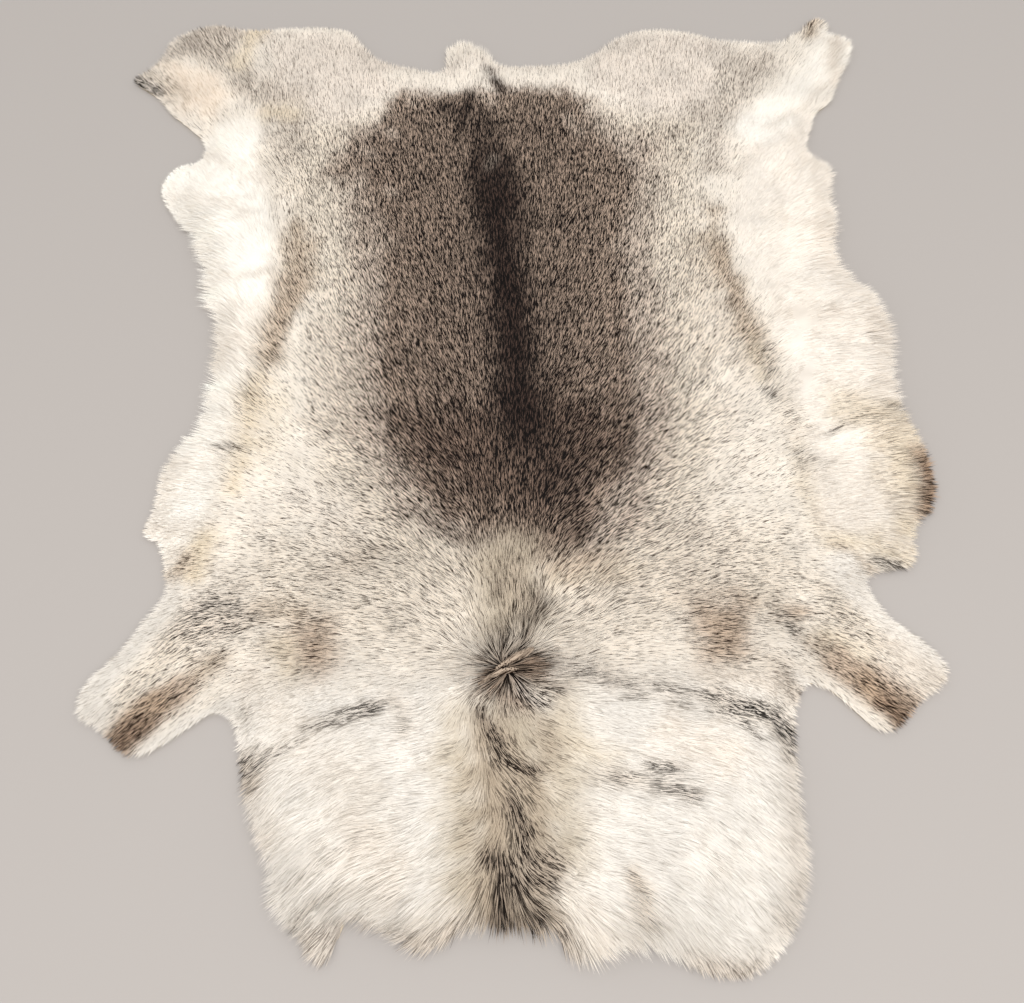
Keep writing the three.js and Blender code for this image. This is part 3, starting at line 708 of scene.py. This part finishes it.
def cut_sheet(cell):
    """Corners, square faces and, for each corner, its distance from the fur's edge and its way out."""
    across, along = (np.arange(LOW[i] - cell, HIGH[i] + 2 * cell, cell) for i in (0, 1))
    x, y = np.meshgrid(across, along)
    distance = edge_distance(x, y)
    slope_y, slope_x = np.gradient(distance, cell)
    steep = np.hypot(slope_x, slope_y) + 1e-9
    room = distance - inset_at(x, y, -slope_x / steep, -slope_y / steep)
    slope_y, slope_x = np.gradient(room, cell)
    kept = (room[:-1, :-1] + room[1:, :-1] + room[:-1, 1:] + room[1:, 1:]) > 0
    uses = np.zeros(x.shape, int)
    for part in (uses[:-1, :-1], uses[1:, :-1], uses[:-1, 1:], uses[1:, 1:]):
        part += kept
    rim = (uses > 0) & (uses < 4)
    steep = slope_x**2 + slope_y**2 + 1e-9
    x[rim] -= np.clip(room * slope_x / steep, -cell, cell)[rim]
    y[rim] -= np.clip(room * slope_y / steep, -cell, cell)[rim]
    number = np.full(x.shape, -1)
    used = uses > 0
    number[used] = np.arange(used.sum())
    faces = np.stack([number[:-1, :-1], number[:-1, 1:], number[1:, 1:], number[1:, :-1]], -1)[kept]
    slope = np.stack([-slope_x[used], -slope_y[used]])
    slope /= np.linalg.norm(slope, axis=0) + 1e-9
    return x[used], y[used], faces, np.where(rim, 0, room)[used], slope


def mesh_object(name, corners, faces):
    mesh = bpy.data.meshes.new(name)
    mesh.from_pydata(corners.tolist(), [], faces.tolist())
    piece = bpy.data.objects.new(name, mesh)
    scene.collection.objects.link(piece)
    return piece


def finished(piece):
    """The piece with its modifiers made real."""
    shown = piece.evaluated_get(bpy.context.evaluated_depsgraph_get())
    mesh = bpy.data.meshes.new_from_object(shown)
    old = piece.data
    piece.modifiers.clear()
    piece.data = mesh
    bpy.data.meshes.remove(old)
    mesh.name = piece.name
    return piece


# %% [markdown]
# ## The skin
# Tanned reindeer skin is a pale suede about two millimetres thick. It lies on the floor and lifts a little
# under the folds.

# %% Skin sheet
SKIN_THICKNESS = 1.8
SKIN_CELL = 12
SKIN_MIDDLE = 1.2 # mm over the floor
FOLD_HEIGHT = 22 # mm, a coat higher than this has a fold of the skin under it
FOLD_LIFT = 0.12 # share of the extra height by which the skin lifts

x, y, faces, room, way_out = cut_sheet(SKIN_CELL)
skin_middle = SKIN_MIDDLE + FOLD_LIFT * np.clip(coat_height(x, y) - FOLD_HEIGHT, 0, None)
skin = mesh_object("skin", np.column_stack([x, y, skin_middle]) * MM, faces)
thick = skin.modifiers.new("thickness", "SOLIDIFY")
thick.thickness = SKIN_THICKNESS * MM
thick.offset = 0
finished(skin)
skin.data.shade_smooth()

# %% [markdown]
# ## The underfur
# Under the long hairs lies a dense woolly bed. It is a closed form on the skin: its top follows the
# depth of the coat, a bit lower, and it carries on each of its corners everything that the guard hairs
# will ask for: which way to lie, how long to be, and which colours to choose from.

# %% Underfur bed
BED_CELL = 5.5
BED_SHARE = 0.66 # of the coat's depth
BED_FLOOR = 2.2 # mm, where the bed's rim meets the skin
BED_LEAST = 0.8 # mm, its least thickness
BED_PAINTED_SHADE = 0.9 # painted shade: the bed is this much darker than the hair over it, for the shade in the gaps between hairs
INNER_TRIM = 0.38 # share of long hair left off away from the rim
INNER_PULL = 0.5 # and how much less it gathers in locks there
LONG_HAIR = (20, 34) # mm, from where hair counts as long to where it fully does
INNER_FROM_RIM = (8, 55) # mm in from the rim
RIM_EASE = (-6, 26) # mm in from the rim over which the bed rises
TURN_BORDER = 14 # mm in from the rim over which hair turns outwards
# Columns: share of the hair's length, size (mm), seed.
LUMPS = [(0.045, 13, 31), (0.03, 7, 32)]

x, y, faces, room, way_out = cut_sheet(BED_CELL)
hair, rise, pull, wave = coat_at(x, y)
# Long hair reaches its full length at the rim. Further in only its last part shows, so it is grown short.
deep = smooth_step(hair, *LONG_HAIR) * smooth_step(room, *INNER_FROM_RIM)
hair = hair * (1 - INNER_TRIM * deep)
pull = pull * (1 - INNER_PULL * deep)
bed_top = BED_SHARE * coat_height(x, y) - BED_FLOOR + hair * mottled(x, y, LUMPS)
bed_top = BED_FLOOR + np.clip(bed_top * smooth_step(room, *RIM_EASE), BED_LEAST, None)
underfur = mesh_object("underfur", np.column_stack([x, y, bed_top]) * MM, faces)
print("Underfur:", len(faces), "faces, top", bed_top.max().round(1), "mm")

# %% What each corner of the bed carries
def store(mesh, name, values, kind="FLOAT"):
    """Writes one value, direction or colour to each corner."""
    layer = mesh.attributes.get(name) or mesh.attributes.new(name, kind, "POINT")
    key = {"FLOAT": "value", "FLOAT_VECTOR": "vector", "FLOAT_COLOR": "color"}[kind]
    layer.data.foreach_set(key, np.ascontiguousarray(values, np.float32).ravel())


# What only serves to grow the hair, on the bed and on each hair.
BED_PLAN = ("comb", "hair_length", "rise", "pull", "wave", "ground", "tick", "tick_share", "density")
HAIR_PLAN = ("root", "lean", "bend", "flat", "luck", "shade", "along", "across", "bed_colour")


def forget(mesh, names):
    """Takes off what only served to grow the hair."""
    for name in names:
        layer = mesh.attributes.get(name)
        if layer:
            mesh.attributes.remove(layer)


comb = comb_at(x, y)
turn = EDGE_TURN * (1 - smooth_step(room, 0, TURN_BORDER))
comb = comb * (1 - turn) + way_out * turn
comb /= np.linalg.norm(comb, axis=0) + 1e-9
ground, tick, tick_share = colours_at(x, y)
# The bed takes the coat's mix of colours, made darker as painted shade of the gaps under the guard hairs.
bed_colour = (ground * (1 - tick_share) + tick * tick_share) * BED_PAINTED_SHADE
mesh = underfur.data
store(mesh, "comb", np.stack([*comb, 0 * x], 1), "FLOAT_VECTOR")
for name, values in (
    ("hair_length", hair * MM), ("rise", rise), ("pull", pull), ("wave", wave), ("tick_share", tick_share),
):
    store(mesh, name, values)
for name, colour in (("ground", ground), ("tick", tick), ("bed_colour", bed_colour)):
    store(mesh, name, np.stack([*colour, np.ones(len(x))], 1), "FLOAT_COLOR")

# %% [markdown]
# ## One guard hair
# Seen from standing height a hair is a thin blade with a sharp tip. A hair of the short coat is so small
# that one straight triangle is enough. A long one of the mane or belly is a narrow leaf of two triangles,
# which can bend in the middle. `along` runs from 0 at the root to 1 at the tip, and `across` from side
# to side.

# %% Hair blades
def hair_blade(name, corners, faces):
    """A flat blade of unit size. Each corner is its place across and along the hair."""
    mesh = bpy.data.meshes.new(name)
    mesh.from_pydata([(across, along, 0) for across, along in corners], [], faces)
    store(mesh, "across", [across for across, along in corners])
    store(mesh, "along", [along for across, along in corners])
    piece = bpy.data.objects.new(name, mesh)
    scene.collection.objects.link(piece)
    return piece


short_blade = hair_blade("short_blade", [(-1, 0), (1, 0), (0, 1)], [(0, 1, 2)])
long_blade = hair_blade("long_blade", [(0, 0), (1, 0.55), (-1, 0.55), (0, 1)], [(0, 1, 2), (2, 1, 3)])

# %% [markdown]
# ## Growing the coat with Geometry Nodes
# The tree scatters roots over the bed, one for each hair. It works out from the bed's attributes where
# each hair's tip lies. Then it puts a blade on each root, makes the blades real and bends each one along
# its own curve. Hairs of a lock share one Voronoi cell, and their tips are pulled to the middle of it.

# %% Guard hair tree
TREE_INPUTS = (
    ("Bed", "Geometry"), ("Blade", "Object"), ("Half width", "Float"), ("Lock size", "Float"),
    ("Stray", "Float"), ("Droop", "Float"), ("Tick spacing", "Float"), ("Tick fade", "Float"),
    ("Seed", "Int"), ("Finish", "Material"),
)
WANDER_SCALE = 30.0 # patches to a metre in which neighbours wander alike
WANDER = 4.0 # times the coat's wave
ROLL = 0.3 # radians about the hair's own line
LUCK = 0.07 # added to a hair's own luck or taken off
# Each hair has its own share of the coat's length, slope and pull, and its own shade: least, most.
LENGTHS, SLOPES, PULLS, SHADES = (0.75, 1.15), (0.6, 1.5), (0.5, 1.0), (0.91, 1.06)
TICK_SCATTER = 0.8 # how far the cells of the ticks stray from a grid
TICK_EDGE = 0.05 # of luck, over which a hair goes from pale to dark
CLEAN = 2.2 # a share of ticks above 1 / CLEAN has no clean coat left
OVER_FLOOR = 0.5 * MM


def guard_hair_tree():
    tree = bpy.data.node_groups.new("guard_hair", "GeometryNodeTree")
    tree.is_modifier = True
    sockets = tree.interface
    for name, kind in TREE_INPUTS:
        sockets.new_socket(name, in_out="INPUT", socket_type="NodeSocket" + kind)
    sockets.new_socket("Hair", in_out="OUTPUT", socket_type="NodeSocketGeometry")

    def add(kind, inputs=None, **settings):
        return add_node(tree, kind, inputs, **settings)

    def maths(operation, *values):
        return add("ShaderNodeMath", dict(enumerate(values)), operation=operation).outputs[0]

    def vectors(operation, *values):
        return add("ShaderNodeVectorMath", dict(enumerate(values)), operation=operation).outputs[0]

    def scaled(vector, by):
        return add("ShaderNodeVectorMath", {0: vector, 3: by}, operation="SCALE").outputs[0]

    def attribute(name, kind="FLOAT"):
        return add("GeometryNodeInputNamedAttribute", {0: name}, data_type=kind).outputs[0]

    def chance(low, high, own_seed):
        return add("FunctionNodeRandomValue", {2: low, 3: high, 8: own_seed}, data_type="FLOAT").outputs[1]

    def colour_mix(share, first, second):
        mix = add("ShaderNodeMix", {0: share, 6: first, 7: second}, data_type="RGBA")
        return mix.outputs[2]

    given = add("NodeGroupInput")
    seed = given.outputs["Seed"]
    roots = add("GeometryNodeDistributePointsOnFaces", {
        "Mesh": given.outputs["Bed"], "Density": attribute("density"), "Seed": seed}).outputs["Points"]
    place = add("GeometryNodeInputPosition").outputs[0]
    up = (0, 0, 1)

    # Which way this hair lies: combed, wandering with its neighbours, and a little astray.
    drift = add("ShaderNodeTexNoise", {"Vector": place, "Scale": WANDER_SCALE, "Detail": 1.0})
    drift = vectors("SUBTRACT", drift.outputs["Color"], (0.5, 0.5, 0.5))
    drift = scaled(drift, maths("MULTIPLY", attribute("wave"), WANDER))
    stray = given.outputs["Stray"]
    astray = add("ShaderNodeCombineXYZ", {
        0: maths("MULTIPLY", chance(-1.0, 1.0, 11), stray),
        1: maths("MULTIPLY", chance(-1.0, 1.0, 12), stray)}).outputs[0]
    lies = vectors("ADD", vectors("ADD", attribute("comb", "FLOAT_VECTOR"), drift), astray)
    lies = vectors("NORMALIZE", vectors("MULTIPLY", lies, (1, 1, 0)))

    # How long it is, and the curve from root to tip: up off the skin, then over and flat.
    length = maths("MULTIPLY", attribute("hair_length"), chance(*LENGTHS, 13))
    lifted = maths("MULTIPLY", maths("MULTIPLY", length, attribute("rise")), chance(*SLOPES, 14))
    lean = vectors("ADD", scaled(lies, length), scaled(up, lifted))
    cells = maths("DIVIDE", 1.0, given.outputs["Lock size"])
    cell = add("ShaderNodeTexVoronoi", {"Vector": place, "Scale": cells}, voronoi_dimensions="2D")
    gather = vectors("MULTIPLY", vectors("SUBTRACT", cell.outputs["Position"], place), (1, 1, 0))
    gather = scaled(gather, maths("MULTIPLY", attribute("pull"), chance(*PULLS, 15)))
    sag = maths("MULTIPLY", lifted, maths("MULTIPLY", given.outputs["Droop"], -1.0))
    bend = vectors("ADD", gather, scaled(up, sag))

    # The flat of the blade, rolled a little about the hair.
    roll = chance(-ROLL, ROLL, 16)
    level = scaled(vectors("CROSS_PRODUCT", lies, up), maths("COSINE", roll))
    flat = scaled(vectors("ADD", level, scaled(up, maths("SINE", roll))), given.outputs["Half width"])

    # Dark hairs stand evenly in the coat. The roots nearest the middle of each small cell are the first to
    # be dark, so a hair's luck is how much of its cell lies nearer the middle than it does.
    spot = add("ShaderNodeTexVoronoi", {
        "Vector": place, "Scale": maths("DIVIDE", 1.0, given.outputs["Tick spacing"]),
        "Randomness": TICK_SCATTER}, voronoi_dimensions="2D").outputs["Distance"]
    luck = maths("MULTIPLY", maths("MULTIPLY", spot, spot), math.pi)
    luck = maths("ADD", luck, chance(-LUCK, LUCK, 17))
    shade = chance(*SHADES, 18)

    stored = roots
    for name, kind, value in (
        ("root", "FLOAT_VECTOR", place), ("lean", "FLOAT_VECTOR", lean), ("bend", "FLOAT_VECTOR", bend),
        ("flat", "FLOAT_VECTOR", flat), ("luck", "FLOAT", luck), ("shade", "FLOAT", shade),
    ):
        stored = add("GeometryNodeStoreNamedAttribute", {
            "Geometry": stored, "Name": name, "Value": value}, data_type=kind, domain="POINT").outputs[0]

    blade = add("GeometryNodeObjectInfo", {"Object": given.outputs["Blade"]}).outputs["Geometry"]
    hair = add("GeometryNodeInstanceOnPoints", {"Points": stored, "Instance": blade}).outputs[0]
    hair = add("GeometryNodeRealizeInstances", {"Geometry": hair}).outputs[0]

    along = attribute("along")
    curve = attribute("root", "FLOAT_VECTOR")
    shares = {"lean": along, "bend": maths("MULTIPLY", along, along), "flat": attribute("across")}
    for name, share in shares.items():
        curve = vectors("ADD", curve, scaled(attribute(name, "FLOAT_VECTOR"), share))
    curve = vectors("MAXIMUM", curve, (-10, -10, OVER_FLOOR))
    hair = add("GeometryNodeSetPosition", {"Geometry": hair, "Position": curve}).outputs[0]

    # A marking stays where it is in the coat, whichever hair lies there: every corner of a blade looks up
    # the colours of the bed under it.
    def under(name, kind):
        return add("GeometryNodeSampleNearestSurface", {
            "Mesh": given.outputs["Bed"], "Value": attribute(name, kind), "Sample Position": curve},
            data_type=kind).outputs["Value"]

    ticked = add("ShaderNodeMapRange", {
        "Value": maths("SUBTRACT", under("tick_share", "FLOAT"), attribute("luck")),
        "From Min": -TICK_EDGE, "From Max": TICK_EDGE}).outputs[0]
    # In the clean parts of long hair only the tip is dark.
    clean = maths("SUBTRACT", 1.0, maths("MULTIPLY", under("tick_share", "FLOAT"), CLEAN))
    clean = maths("MAXIMUM", 0.0, clean)
    paler = maths("SUBTRACT", 1.0, maths("MULTIPLY", along, along))
    paler = maths("MULTIPLY", paler, given.outputs["Tick fade"])
    ticked = maths("MULTIPLY", ticked, maths("SUBTRACT", 1.0, maths("MULTIPLY", paler, clean)))
    colour = colour_mix(ticked, under("ground", "FLOAT_COLOR"), under("tick", "FLOAT_COLOR"))
    colour = scaled(colour, attribute("shade"))
    hair = add("GeometryNodeStoreNamedAttribute", {
        "Geometry": hair, "Name": "hair_colour", "Value": colour},
        data_type="FLOAT_COLOR", domain="POINT").outputs[0]
    hair = add("GeometryNodeSetMaterial", {
        "Geometry": hair, "Material": given.outputs["Finish"]}).outputs[0]
    add("NodeGroupOutput", {"Hair": hair})
    return tree


hair_tree = guard_hair_tree()
print("Guard hair tree:", len(hair_tree.nodes), "nodes")

# %% [markdown]
# ## Finishes
# Hair is keratin: an IOR of about 1.55 and a soft, slightly waxy shine. The underfur is wool, which
# hardly shines. The skin is suede: matt, with a fine nap.

# %% Materials
def fur_material(name, colour_attribute, roughness):
    finish = bpy.data.materials.new(name)
    finish.use_nodes = True
    tree = finish.node_tree
    shader = tree.nodes["Principled BSDF"]
    colour = add_node(tree, "ShaderNodeAttribute", attribute_name=colour_attribute).outputs["Color"]
    tree.links.new(colour, shader.inputs["Base Color"])
    shader.inputs["Roughness"].default_value = roughness
    shader.inputs["IOR"].default_value = 1.55
    # A coat is full of gaps, so it shines far less than one smooth hair.
    shader.inputs["Specular IOR Level"].default_value = 0.12
    return finish


def suede_material():
    finish = bpy.data.materials.new("tanned_suede")
    finish.use_nodes = True
    tree = finish.node_tree
    shader = tree.nodes["Principled BSDF"]
    place = add_node(tree, "ShaderNodeTexCoord").outputs["Object"]
    # Cloudy patches of about 55 mm, and a nap of about 1 mm.
    clouds = add_node(tree, "ShaderNodeTexNoise", {"Vector": place, "Scale": 18.0, "Detail": 5.0})
    colour = add_node(tree, "ShaderNodeMix", {
        0: clouds.outputs["Fac"], 6: rgba("#e3d6c1"), 7: rgba("#c9b89e")}, data_type="RGBA").outputs[2]
    nap = add_node(tree, "ShaderNodeTexNoise", {"Vector": place, "Scale": 900.0, "Detail": 3.0})
    bump = add_node(tree, "ShaderNodeBump", {
        "Height": nap.outputs["Fac"], "Strength": 0.35, "Distance": 0.3 * MM}).outputs[0]
    tree.links.new(colour, shader.inputs["Base Color"])
    tree.links.new(bump, shader.inputs["Normal"])
    shader.inputs["Roughness"].default_value = 0.95
    shader.inputs["Specular IOR Level"].default_value = 0.2
    return finish


guard_hair_finish = fur_material("guard_hair_keratin", "hair_colour", 0.6)
underfur_finish = fur_material("underfur_wool", "bed_colour", 0.95)
skin.data.materials.append(suede_material())
underfur.data.materials.append(underfur_finish)

# %% [markdown]
# ## The coat, piece by piece
# The hair is grown in pieces, so that none is too heavy. Each piece has its share of the bed, a count of
# hairs, and the size of its locks. Neighbours overlap softly, so no seam shows.

# %% Grow the guard hair
MIDLINE = 5 # x, mm
TO_MANE = -375 # y, mm, and the next two
TO_BACK = -205
TO_RUMP = 385
COAT_SEED = 100


def overlap(value, border, soft=12):
    """1 where value is above the border, 0 below it, mixed at random across it."""
    return smooth_step(value, border - soft, border + soft)


left_belly = overlap(-x, 290 + 0.12 * np.abs(y - 150)) * overlap(y, -240) * (1 - overlap(y, 400))
right_belly = overlap(x, 305 + 0.10 * np.abs(y - 150)) * overlap(y, -250) * (1 - overlap(y, 420))
belly = np.maximum(left_belly, right_belly)
mane = overlap(-y, -TO_MANE) * (1 - overlap(np.abs(x), 285))
rump = overlap(y, TO_RUMP) * (1 - belly)
shoulders = (1 - overlap(y, TO_BACK)) * (1 - mane) * (1 - belly)
back = (1 - belly) * (1 - mane) * (1 - rump) * (1 - shoulders)
# Columns: where it grows, hairs, blade, half width (mm), lock size (mm), stray, droop of the tips,
# tick spacing (mm), fade of the ticks towards the root.
PIECES = {
    "back_coat_left": (back * (1 - overlap(x, MIDLINE)), 128000, short_blade, 0.56, 5, 0.18, 0.5, 1.9, 0),
    "back_coat_right": (back * overlap(x, MIDLINE), 128000, short_blade, 0.56, 5, 0.18, 0.5, 1.9, 0),
    "rump_coat": (rump, 130000, short_blade, 0.52, 7, 0.16, 0.5, 2.4, 0),
    "shoulder_coat": (shoulders, 112000, short_blade, 0.50, 7, 0.18, 0.5, 2.4, 0),
    "mane": (mane, 95000, long_blade, 0.34, 11, 0.12, 0.8, 2.8, 0.8),
    "belly_coat": (belly, 92000, long_blade, 0.38, 14, 0.10, 0.8, 3.5, 0.6),
}
CORNER_AREA = (BED_CELL * MM) ** 2


def grow(name, bed, density, blade, half_width, lock_size, stray, droop, tick_spacing, tick_fade, seed):
    """One piece of the coat, as a plain mesh with its colours. Density is hairs to a square metre."""
    store(bed, "density", density)
    piece = bpy.data.objects.new(name, bed)
    scene.collection.objects.link(piece)
    grower = piece.modifiers.new("guard_hair", "NODES")
    grower.node_group = hair_tree
    settings = {
        "Blade": blade, "Half width": half_width * MM, "Lock size": lock_size * MM, "Stray": stray,
        "Droop": droop, "Tick spacing": tick_spacing * MM, "Tick fade": tick_fade, "Seed": seed,
        "Finish": guard_hair_finish,
    }
    for item in hair_tree.interface.items_tree:
        if item.name in settings:
            grower[item.identifier] = settings[item.name]
    shown = piece.evaluated_get(bpy.context.evaluated_depsgraph_get())
    grown = bpy.data.meshes.new_from_object(shown)
    piece.modifiers.clear()
    piece.data = grown
    grown.name = name
    forget(grown, HAIR_PLAN + BED_PLAN)
    triangles = sum(len(p.vertices) - 2 for p in grown.polygons)
    print(f"{name}: {triangles} triangles, up to {density.max() / 1e4:.0f} hairs a cm2")
    return piece


coat = []
for i, (name, (where, hairs, *style)) in enumerate(PIECES.items()):
    density = hairs * where / (where.sum() * CORNER_AREA)
    coat.append(grow(name, underfur.data, density, *style, seed=COAT_SEED + i))

# %% [markdown]
# ## The ropes at the whorl
# At the withers two locks have rolled into ropes that lie over the whorl. Each is a small half round bed
# along a line, a bit above the coat, with the same hair grown on it along its own length.

# %% Ropes of hair
# Columns: points x, y (mm) from root to tip, half width (mm).
ROPES = {
    "withers_rope_right": ([(-22, -364), (-13, -360), (-4, -356), (5, -352), (11, -349)], 2.4),
    "withers_rope_left": ([(2, -363), (-9, -365), (-20, -368), (-31, -373)], 1.8),
}
ROPE_STEPS = 20
ROPE_SIDES = 7
ROPE_TWIST = math.radians(14)
ROPE_SUNK = 7 # mm that its ends lie under the top of the coat
ROPE_ARCH = 6 # mm that its middle stands over its ends
ROPE_TIP = 0.35 # its ends' width as a share of the middle's
ROPE_FULLNESS = 0.6 # below 1 it keeps its width for longer
ROPE_PLAN = {"hair_length": 11 * MM, "rise": 0.06, "pull": 0.0, "wave": 0.05}
ROPE_COLOURS = {"ground": "#bba895", "tick": "#3a281b"}
ROPE_TICKS_AND_SIDE_SHADE = (0.2, 0.7) # share of ticks at the crest, and how much more at the sides, where the extra is painted shade of the rope's flanks
ROPE_DENSITY = 4.5e6 # hairs to a square metre
# The last columns of PIECES.
ROPE_STYLE = (short_blade, 0.45, 4, 0.05, 0.5, 1.6, 0)
ROPE_SEED = 200


def rope_bed(points, half_width):
    """A half round strip along the points, its way, and how far each corner is from its crest, 0 to 1."""
    knots = np.array(points, float)
    along = np.linspace(0, 1, ROPE_STEPS)
    spots = along * (len(knots) - 1)
    line = np.stack([np.interp(spots, range(len(knots)), knots[:, i]) for i in (0, 1)])
    way = np.gradient(line, axis=1)
    way /= np.linalg.norm(way, axis=0)
    arch = np.sin(along * math.pi)
    crest = coat_height(*line) - ROPE_SUNK + ROPE_ARCH * arch
    radius = half_width * (ROPE_TIP + (1 - ROPE_TIP) * arch**ROPE_FULLNESS)
    turn = np.linspace(0, math.pi, ROPE_SIDES)
    side = np.cos(turn)[None, :] * radius[:, None]
    x = line[0][:, None] - way[1][:, None] * side
    y = line[1][:, None] + way[0][:, None] * side
    z = crest[:, None] + np.sin(turn)[None, :] * radius[:, None]
    number = np.arange(ROPE_STEPS * ROPE_SIDES).reshape(ROPE_STEPS, ROPE_SIDES)
    faces = np.stack([number[:-1, :-1], number[1:, :-1], number[1:, 1:], number[:-1, 1:]], -1)
    corners = np.stack([x, y, z], -1).reshape(-1, 3) * MM
    mesh = bpy.data.meshes.new("rope_bed")
    mesh.from_pydata(corners.tolist(), [], faces.reshape(-1, 4).tolist())
    return mesh, np.repeat(way, ROPE_SIDES, axis=1), np.tile(np.abs(np.cos(turn)), ROPE_STEPS)


for i, (name, (points, half_width)) in enumerate(ROPES.items()):
    bed, way, from_crest = rope_bed(points, half_width)
    spiral = np.stack([
        way[0] * math.cos(ROPE_TWIST) - way[1] * math.sin(ROPE_TWIST),
        way[0] * math.sin(ROPE_TWIST) + way[1] * math.cos(ROPE_TWIST), 0 * way[0]], 1)
    store(bed, "comb", spiral, "FLOAT_VECTOR")
    even = np.ones(len(from_crest))
    for key, value in ROPE_PLAN.items():
        store(bed, key, even * value)
    for key, colour in ROPE_COLOURS.items():
        store(bed, key, np.tile(rgba(colour), (len(even), 1)), "FLOAT_COLOR")
    # The sides of each rope get more dark hairs than its crest: painted shade.
    store(bed, "tick_share", ROPE_TICKS_AND_SIDE_SHADE[0] + ROPE_TICKS_AND_SIDE_SHADE[1] * from_crest**3)
    coat.append(grow(name, bed, even * ROPE_DENSITY, *ROPE_STYLE, seed=ROPE_SEED + i))
    bpy.data.meshes.remove(bed)

for blade in (short_blade, long_blade):
    bpy.data.objects.remove(blade)


# %% Close the underfur
def close_below(piece, floor):
    """Turns the open sheet into a closed body with a flat underside."""
    form = bmesh.new()
    form.from_mesh(piece.data)
    rim = [edge for edge in form.edges if edge.is_boundary]
    made = bmesh.ops.extrude_edge_only(form, edges=rim)["geom"]
    lower = [item for item in made if isinstance(item, bmesh.types.BMVert)]
    for corner in lower:
        corner.co.z = floor
    bottom = [item for item in made if isinstance(item, bmesh.types.BMEdge) and item.is_boundary]
    bmesh.ops.holes_fill(form, edges=bottom, sides=0)
    bmesh.ops.recalc_face_normals(form, faces=form.faces)
    form.to_mesh(piece.data)
    form.free()


close_below(underfur, BED_FLOOR * MM)
forget(underfur.data, BED_PLAN)
underfur.data.shade_smooth()
print("Underfur faces:", len(underfur.data.polygons))

# %% [markdown]
# ## Stage, light and camera
# A plain pale floor, one broad soft light in front of the neck end and a bright even room.

# %% Floor
FLOOR = 6 # metres from the middle to its sides

floor_mesh = bpy.data.meshes.new("floor")
floor_corners = [(-FLOOR, -FLOOR, 0), (FLOOR, -FLOOR, 0), (FLOOR, FLOOR, 0), (-FLOOR, FLOOR, 0)]
floor_mesh.from_pydata(floor_corners, [], [(0, 1, 2, 3)])
floor = bpy.data.objects.new("floor", floor_mesh)
floor_finish = bpy.data.materials.new("pale_floor_lacquer")
floor_finish.use_nodes = True
floor_shader = floor_finish.node_tree.nodes["Principled BSDF"]
floor_shader.inputs["Base Color"].default_value = rgba("#aca6a2")
floor_shader.inputs["Roughness"].default_value = 0.7
floor_mesh.materials.append(floor_finish)
scene.collection.objects.link(floor)

# %% Light
world = bpy.data.worlds.new("bright_room")
world.use_nodes = True
world.node_tree.nodes["Background"].inputs["Color"].default_value = rgba("#fbfaf8")
world.node_tree.nodes["Background"].inputs["Strength"].default_value = 0.95
scene.world = world

window = bpy.data.lights.new("window", "AREA")
window.shape = "SQUARE"
window.size = 3.5
window.energy = 100
window.color = (1.0, 0.99, 0.975)
window_place = bpy.data.objects.new("window", window)
window_place.location = (0.3, -2.2, 3.2)
window_place.rotation_euler = (-window_place.location).to_track_quat("-Z", "Y").to_euler()
scene.collection.objects.link(window_place)
scene.view_settings.view_transform = "Standard"

# %% Camera
CAMERA_PLACE = (-14.4, -678.4, 991) # mm
CAMERA_DOWN = 62.38 # degrees below level
CAMERA_TURN = 1.79 # degrees to the right of +Y
FOCAL_PIXELS = 1000
IMAGE_WIDTH = 1024

lens = bpy.data.cameras.new("camera")
lens.sensor_width = 36
lens.lens = lens.sensor_width * FOCAL_PIXELS / IMAGE_WIDTH
lens.clip_start = 0.05
camera = bpy.data.objects.new("camera", lens)
camera.location = [v * MM for v in CAMERA_PLACE]
camera.rotation_euler = (math.radians(90 - CAMERA_DOWN), 0, math.radians(-CAMERA_TURN))
scene.collection.objects.link(camera)
scene.camera = camera

# %% [markdown]
# ## Hand over
# Everything rides on the one body, and the skin with its fur stands for the CAD solid.

# %% Ride, replace and finish
for piece in (skin, underfur, *coat):
    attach(piece, "root")
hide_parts("hide")
